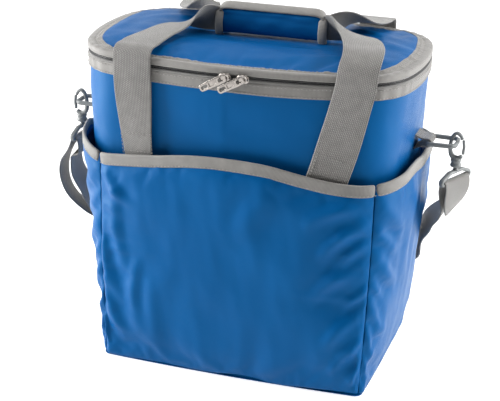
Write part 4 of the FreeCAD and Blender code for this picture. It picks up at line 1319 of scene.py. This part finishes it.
def make_sliders():
    """Two sliders, each a shaped body with an arched bridge, and a looped pull on each."""
    for side in ("left", "right"):
        low, high = span(f"zip_slider_{side}")
        middle = (low + high) / 2
        shape = rounded_loop([(-5.0, -2.0), (-3.2, -3.6), (3.2, -3.6), (5.0, -2.0), (5.0, 2.0), (3.2, 3.4),
                              (-3.2, 3.4), (-5.0, 2.0)], 1.6, 3)
        stand = Matrix.Rotation(math.pi / 2, 4, "X")
        face_y = high[1] - 0.8
        base = plate(f"slider_plate_{side}", shape, [], 1.5, 0.4,
                     Matrix.Translation(Vector((middle[0], face_y, middle[2])) * MM) @ stand)
        reach = [(-4.4, face_y + 0.2, -1.0), (-4.3, face_y - 2.4, 0.6), (-3.0, low[1] + 0.9, 3.2),
                 (0, low[1] + 0.6, 4.4), (3.0, low[1] + 0.9, 3.2), (4.3, face_y - 2.4, 0.6),
                 (4.4, face_y + 0.2, -1.0)]
        line = through([(middle[0] + x, y, middle[2] + z) for x, y, z in reach], 0.7)
        bridge = sweep(f"slider_bridge_{side}", line, same([0, -0.5, 0.86], line),
                       round_profile(2.0, 1.3, 2.6))
        whole = joined(f"slider_{side}", [base, bridge])
        dress(whole, METAL, f"slider_{side}", (f"zip_slider_{side}",))
        make_pull(side, middle[0], middle[2])


PULL_DROOP = math.radians(29)


def make_pull(side, head_x, head_z):
    """A pull tab: a tapered plate with a long eye at its head and a slot near its tip."""
    low, high = span(f"pull_tab_{side}")
    length = 27.0
    reach = length / 2 - 1.2
    middle = Vector((head_x - reach * math.cos(PULL_DROOP), (low[1] + high[1]) / 2,
                     head_z - reach * math.sin(PULL_DROOP)))
    half = length / 2
    edge = rounded_loop([(half, -3.2), (half, 3.2), (half - 7, 3.5), (-half + 6, 3.1), (-half, 3.0),
                         (-half, -3.0), (-half + 6, -3.1), (half - 7, -3.5)], 2.6, 5)

    def opening(start, end, half_wide, radius, steps):
        """A rounded hole along the pull, its corners in the order that starts and ends at start."""
        corners = [(start, -half_wide), (start, half_wide), (end, half_wide), (end, -half_wide)]
        return rounded_loop(corners, radius, steps)

    eye = opening(half - 1.7, half - 7.6, 2.0, 1.5, 4)
    slot = opening(-half + 1.5, -half + 8.4, 1.9, 1.5, 4)
    window = opening(-half + 9.6, half - 8.8, 1.9, 0.5, 3)
    lean = Matrix.Rotation(-PULL_DROOP, 4, "Y") @ Matrix.Rotation(math.pi / 2, 4, "X")
    place = Matrix.Translation(middle * MM) @ lean
    rails = plate(f"pull_rails_{side}", edge, [eye, slot, window], 1.6, 0.45, place)
    web = plate(f"pull_web_{side}", window, [], 0.5, 0.1, place)
    piece = joined(f"pull_{side}", [rails, web])
    dress(piece, METAL, f"pull_{side}", (f"pull_tab_{side}",))


# ---------------------------------------------------------------- rings, snap hooks, frames, strap

RING_Z = (RING_LOW[2] + RING_HIGH[2]) / 2
RING_IN, RING_OUT = RING_LOW[0] + 2.0, RING_HIGH[0] - 2.0
TAB_WIDTH = 20.0


def make_side_hardware(side, sign):
    """The ring and its loop of webbing, the snap hook and its gate, and the strap's frame."""
    half = (RING_HIGH[1] - RING_LOW[1]) / 2 - 2.0
    corners = [(RING_IN, -half), (RING_OUT - 3, -half + 0.6), (RING_OUT, -half + 4.2), (RING_OUT, half - 4.2),
               (RING_OUT - 3, half - 0.6), (RING_IN, half)]
    loop = rounded_loop(corners, 2.6, 5, 3.0)
    line = np.column_stack([loop[:, 0] * sign, loop[:, 1], np.full(len(loop), RING_Z)])
    ring = sweep(f"ring_{side}", line, same([0, 0, 1.0], line), round_profile(4.4, 3.8, 2.5),
                 closed=True)
    dress(ring, PLASTIC, "bag", (f"d_ring_{side}",), levels=1)
    bar = RING_IN
    path = [(151.6, -7.5), (155.0, -5.6), (158.5, -4.0), (bar - 2.4, -3.5), (bar + 1.3, -3.4), (bar + 3.2, 0),
            (bar + 1.3, 3.4), (bar - 2.4, 3.5), (158.8, 4.0), (155.4, 5.6), (152.0, 7.5)]
    stations = [((x * sign, 0, RING_Z + z), (0, 1, 0), TAB_WIDTH) for x, z in path]
    tab, *_ = ribbon(f"ring_loop_{side}", stations, thick=1.4, spacing=1.5)
    dress(tab, WEBBING, "bag", (f"ring_tab_{side}",), levels=1)
    make_hook(side, sign)
    make_frame(side, sign)


def make_hook(side, sign):
    """A swivelling snap hook: a thick-rooted loop, a gate with a thumb bump, and its barrel."""
    x0 = RING_OUT
    mid = (GATE_LOW[2] + GATE_HIGH[2]) / 2
    route = [(5.2, -8.4, 2.2), (3.2, -10.6, 2.7), (0, -11.4, 3.0), (-3.8, -9.6, 2.9), (-5.7, -5.0, 2.6),
             (-6.1, 0, 2.3), (-5.6, 5.0, 2.2), (-3.6, 10.4, 2.2), (-0.6, 13.2, 2.2), (2.8, 11.4, 2.1),
             (5.2, 7.2, 1.9)]
    rows = [(x0 * sign + x * sign, 0, mid - 0.2 + z, r) for x, z, r in route]
    line = through(rows, 1.2)
    scale = np.stack([line[:, 3], line[:, 3]], -1)
    loop = sweep(f"hook_loop_{side}", line[:, :3], same([0, 1.0, 0], line),
                 round_profile(1.9, 1.6, 2.6), scale=scale)
    barrel = turned(f"hook_barrel_{side}",
                    [(2.4, 0.1), (4.6, 0.1), (5.4, 0.9), (5.4, 2.8), (4.5, 3.4), (4.4, 5.4), (5.2, 6.0),
                     (5.2, 7.4), (4.2, 8.6), (2.4, 10.0)], (x0 * sign, 0, HOOK_LOW[2]))
    hook = joined(f"hook_{side}", [loop, barrel])
    dress(hook, PLASTIC, f"hook_{side}", (f"snap_hook_{side}",), levels=1)
    bottom, top = GATE_LOW[2] - 3.4, GATE_HIGH[2] + 2.8
    steps = [(0.0, bottom), (0.1, bottom + 2), (0.5, mid - 1.5), (0.7, mid), (0.5, mid + 1.5), (0.1, top - 1.5),
             (0, top)]
    gate_line = through([((x0 + 6.2 + x) * sign, 0, z) for x, z in steps], 0.8)
    gate = sweep(f"gate_{side}", gate_line, same([0, 1.0, 0], gate_line),
                 round_profile(3.4, 2.8, 2.8))
    dress(gate, PLASTIC, f"gate_{side}", (f"hook_gate_{side}",), levels=1)


# How far each strap frame is turned on its swivel.
FRAME_TURN = {-1: math.radians(4), 1: math.radians(25)}


def make_frame(side, sign):
    """The strap's frame: a bar that the webbing turns over, sloping shoulders, and a swivel post."""
    x0 = RING_OUT * sign
    turned_x, turned_y = math.sin(FRAME_TURN[sign]), math.cos(FRAME_TURN[sign])
    low = FRAME_LOW[2]
    half = FRAME_HIGH[1]
    corners = [(-half + 1.9, low + 1.9), (half - 1.9, low + 1.9), (half - 1.9, low + 6.2), (9.0, low + 11.2),
               (-9.0, low + 11.2), (-half + 1.9, low + 6.2)]
    loop = rounded_loop(corners, 2.6, 5, 3.0)
    line = np.column_stack([x0 + loop[:, 0] * turned_x, loop[:, 0] * turned_y, loop[:, 1]])
    body = sweep(f"frame_loop_{side}", line, same([turned_y, -turned_x, 0], line),
                 round_profile(5.0, 3.6, 2.8), closed=True)
    post = turned(f"frame_post_{side}",
                  [(3.4, low + 11.4), (3.2, low + 12.6), (1.8, low + 13.4), (1.8, low + 17.6)], (x0, 0, 0), 16)
    whole = joined(f"strap_clip_{side}", [body, post])
    dress(whole, PLASTIC, "strap", (f"strap_frame_{side}",), levels=1)


def make_strap():
    """The shoulder strap, turned back over each frame's bar, and its slide."""
    bar = RING_OUT
    low = FRAME_LOW[2]
    slide_low, slide_high = span("strap_adjuster")
    middle = (slide_low + slide_high) / 2
    back_y, under = middle[1], middle[2]

    def turn(sign):
        """The webbing's turn over a frame's bar, from its inner side to its outer side."""
        turn_x, turn_y = math.sin(FRAME_TURN[sign]), math.cos(FRAME_TURN[sign])
        path = [(-3.4, low - 14), (-3.6, low), (-1.8, low + 4.9), (1.8, low + 4.9), (3.6, low)]
        return [((sign * (bar + off * turn_y), -sign * off * turn_x, z), (turn_x, turn_y, 0), WEB)
                for off, z in path]

    edge_on = (-0.13, 0.99, 0)
    stations = [((-bar + 3, 22, 108), (-0.12, 0.93, 0.37), WEB), ((-bar - 3, 8, 134), edge_on, WEB),
                ((-bar - 9, 1, 158), edge_on, WEB), ((-bar - 6.5, 0, 174), edge_on, WEB)] + turn(-1) + [
        ((-bar - 11, 0, 180), edge_on, WEB), ((-bar - 19, 0, 168), edge_on, WEB),
        ((-bar - 23, 1, 152), (-0.2, 0.98, 0), WEB),
        ((-bar - 21.5, 4, 133), (-0.3, 0.95, 0), WEB), ((-bar - 11, 14, 110), (-0.48, 0.87, 0.05), WEB),
        ((-184, 42, 90), (-0.55, 0.7, 0.42), WEB), ((-160, 78, 77), (-0.1, 0.4, 0.9), WEB),
        ((-124, back_y - 3, under + 8), (0, 0, 1), WEB),
        ((-84, back_y, under), (0, 0, 1), WEB), ((0, back_y, under), (0, 0, 1), WEB),
        ((84, back_y, under), (0, 0, 1), WEB), ((118, back_y - 4, under + 8), (0, 0, 1), WEB),
        ((140, 84, 88), (-0.1, 0.35, 0.93), WEB), ((153, 58, 117), (0, 0.62, 0.78), WEB),
        ((169, 32, 141), (0, 0.9, 0.43), WEB), ((bar - 5, 8, 166), (0.2, 0.97, 0.1), WEB)
    ] + turn(1)[1:] + [
        ((bar + 2.6, -1, 178), (0.42, 0.9, 0), WEB), ((bar + 0.5, 3, 163), (0.25, 0.97, 0.1), WEB)]
    piece, *_ = ribbon("shoulder_web", stations, seed=9)
    dress(piece, WEBBING, "strap", ("shoulder_strap",), levels=1)
    long_half, wide_half = (slide_high[0] - slide_low[0]) / 2, (slide_high[2] - slide_low[2]) / 2

    def opening(x, half_x, half_z, radius, steps):
        """A rounded rectangle on the slide's face."""
        corners = [(x - half_x, -half_z), (x + half_x, -half_z), (x + half_x, half_z), (x - half_x, half_z)]
        return rounded_loop(corners, radius, steps)

    edge = opening(0, long_half, wide_half, 4.0, 5)
    slots = [opening(x, 3.2, 19.6, 1.5, 3) for x in (-7.4, 7.4)]
    stand = Matrix.Rotation(math.pi / 2, 4, "X")
    faces = [plate(f"slide_face_{n}", edge, slots, 2.2, 0.7,
                   Matrix.Translation(Vector((middle[0], middle[1] + y, middle[2])) * MM) @ stand)
             for n, y in enumerate((-2.1, 2.1))]
    slide = joined("strap_slide", faces)
    dress(slide, PLASTIC, "adjuster", ("strap_adjuster",))


# ---------------------------------------------------------------- build the object

make_body()
make_base()
seam_lines = []
for pocket in ("front", "right", "left"):
    cloth_points, cloth_out = make_pocket(pocket)
    seam_lines.append(make_pocket_binding(pocket, cloth_points, cloth_out))
stitched("pocket_stitches", seam_lines, GREY_THREAD, "bag")
stitched("rim_stitches", make_rim(), GREY_THREAD, "bag")
make_zip()
make_hinge()
make_lid()
make_liner()
make_handles()
make_grip()
make_sliders()
for hardware_side, hardware_sign in (("left", -1), ("right", 1)):
    make_side_hardware(hardware_side, hardware_sign)
make_strap()

for node in ("foam_front_wall", "foam_back_wall", "foam_left_wall", "foam_right_wall", "foam_base", "lid_foam"):
    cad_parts[node].data.materials.clear()
    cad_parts[node].data.materials.append(FOAM)
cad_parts["base_board"].data.materials.clear()
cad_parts["base_board"].data.materials.append(BOARD)

# ---------------------------------------------------------------- floor, light and camera


def make_floor():
    """A pale studio floor that curves up behind."""
    made = material("studio_floor", (0.86, 0.86, 0.86), 0.7)
    tree = made.node_tree
    speck = noise(tree, space_coordinates(tree, 4.0), 1.0, 2.0)
    paint(made, tint(tree, (0.60, 0.60, 0.60), (0.63, 0.63, 0.63), speck))
    shader = tree.nodes["Principled BSDF"]
    shader.inputs["Emission Color"].default_value = (1, 1, 1, 1)
    shader.inputs["Emission Strength"].default_value = 0.70
    deep = np.concatenate([np.linspace(-6000, 3500, 20), 3500 + 1500 * np.sin(np.linspace(0.1, np.pi / 2, 12))])
    tall = np.concatenate([np.full(20, -0.3), 1500 * (1 - np.cos(np.linspace(0.1, np.pi / 2, 12)))])
    deep, tall = np.append(deep, 5000), np.append(tall, 7000)
    wide = np.linspace(-9000, 9000, 12)
    points = np.stack(np.broadcast_arrays(wide[None], deep[:, None], tall[:, None]), -1)
    floor = lattice("studio_floor", points)
    floor.data.materials.append(made)


def area_light(name, place, aim, size, power, colour=(1, 1, 1)):
    """A soft rectangular lamp aimed at a point, in metres."""
    data = bpy.data.lights.new(name, "AREA")
    data.shape = "RECTANGLE"
    data.size, data.size_y = size
    data.energy = power
    data.color = colour
    lamp = bpy.data.objects.new(name, data)
    lamp.location = place
    lamp.rotation_mode = "QUATERNION"
    lamp.rotation_quaternion = (Vector(aim) - Vector(place)).to_track_quat("-Z", "Y")
    bpy.context.scene.collection.objects.link(lamp)


def make_camera(azimuth=18.92, elevation=22.55, distance=1.41951, target=(-0.01141, 0, 0.14324), roll=0.23,
                lens=103.15):
    """The camera at the photograph's angle."""
    data = bpy.data.cameras.new("camera")
    data.lens = lens
    data.sensor_width = 36.0
    camera = bpy.data.objects.new("camera", data)
    a, e = math.radians(azimuth), math.radians(elevation)
    back = Vector((math.sin(a) * math.cos(e), -math.cos(a) * math.cos(e), math.sin(e)))
    camera.location = Vector(target) + back * distance
    camera.rotation_mode = "QUATERNION"
    camera.rotation_quaternion = ((-back).to_track_quat("-Z", "Y")
                                  @ Quaternion((0, 0, 1), math.radians(roll)))
    data.clip_start, data.clip_end = 0.05, 30
    bpy.context.scene.collection.objects.link(camera)
    bpy.context.scene.camera = camera


make_floor()
area_light("left_box", (-1.6, -0.4, 0.6), (0, 0, 0.18), (0.6, 1.4), 64)
area_light("right_box", (1.6, 0.4, 0.8), (0, 0, 0.18), (0.8, 1.5), 50)
area_light("top_box", (0.1, -0.1, 2.0), (0, 0, 0.2), (1.4, 1.0), 22)
area_light("front_fill", (0.3, -2.6, 1.2), (0, 0, 0.15), (1.2, 1.2), 0.8)
world = bpy.data.worlds.new("studio")
world.use_nodes = True
world.node_tree.nodes["Background"].inputs["Color"].default_value = (1, 1, 1, 1)
world.node_tree.nodes["Background"].inputs["Strength"].default_value = 0.12
bpy.context.scene.world = world
bpy.context.scene.view_settings.view_transform = "Standard"
make_camera()
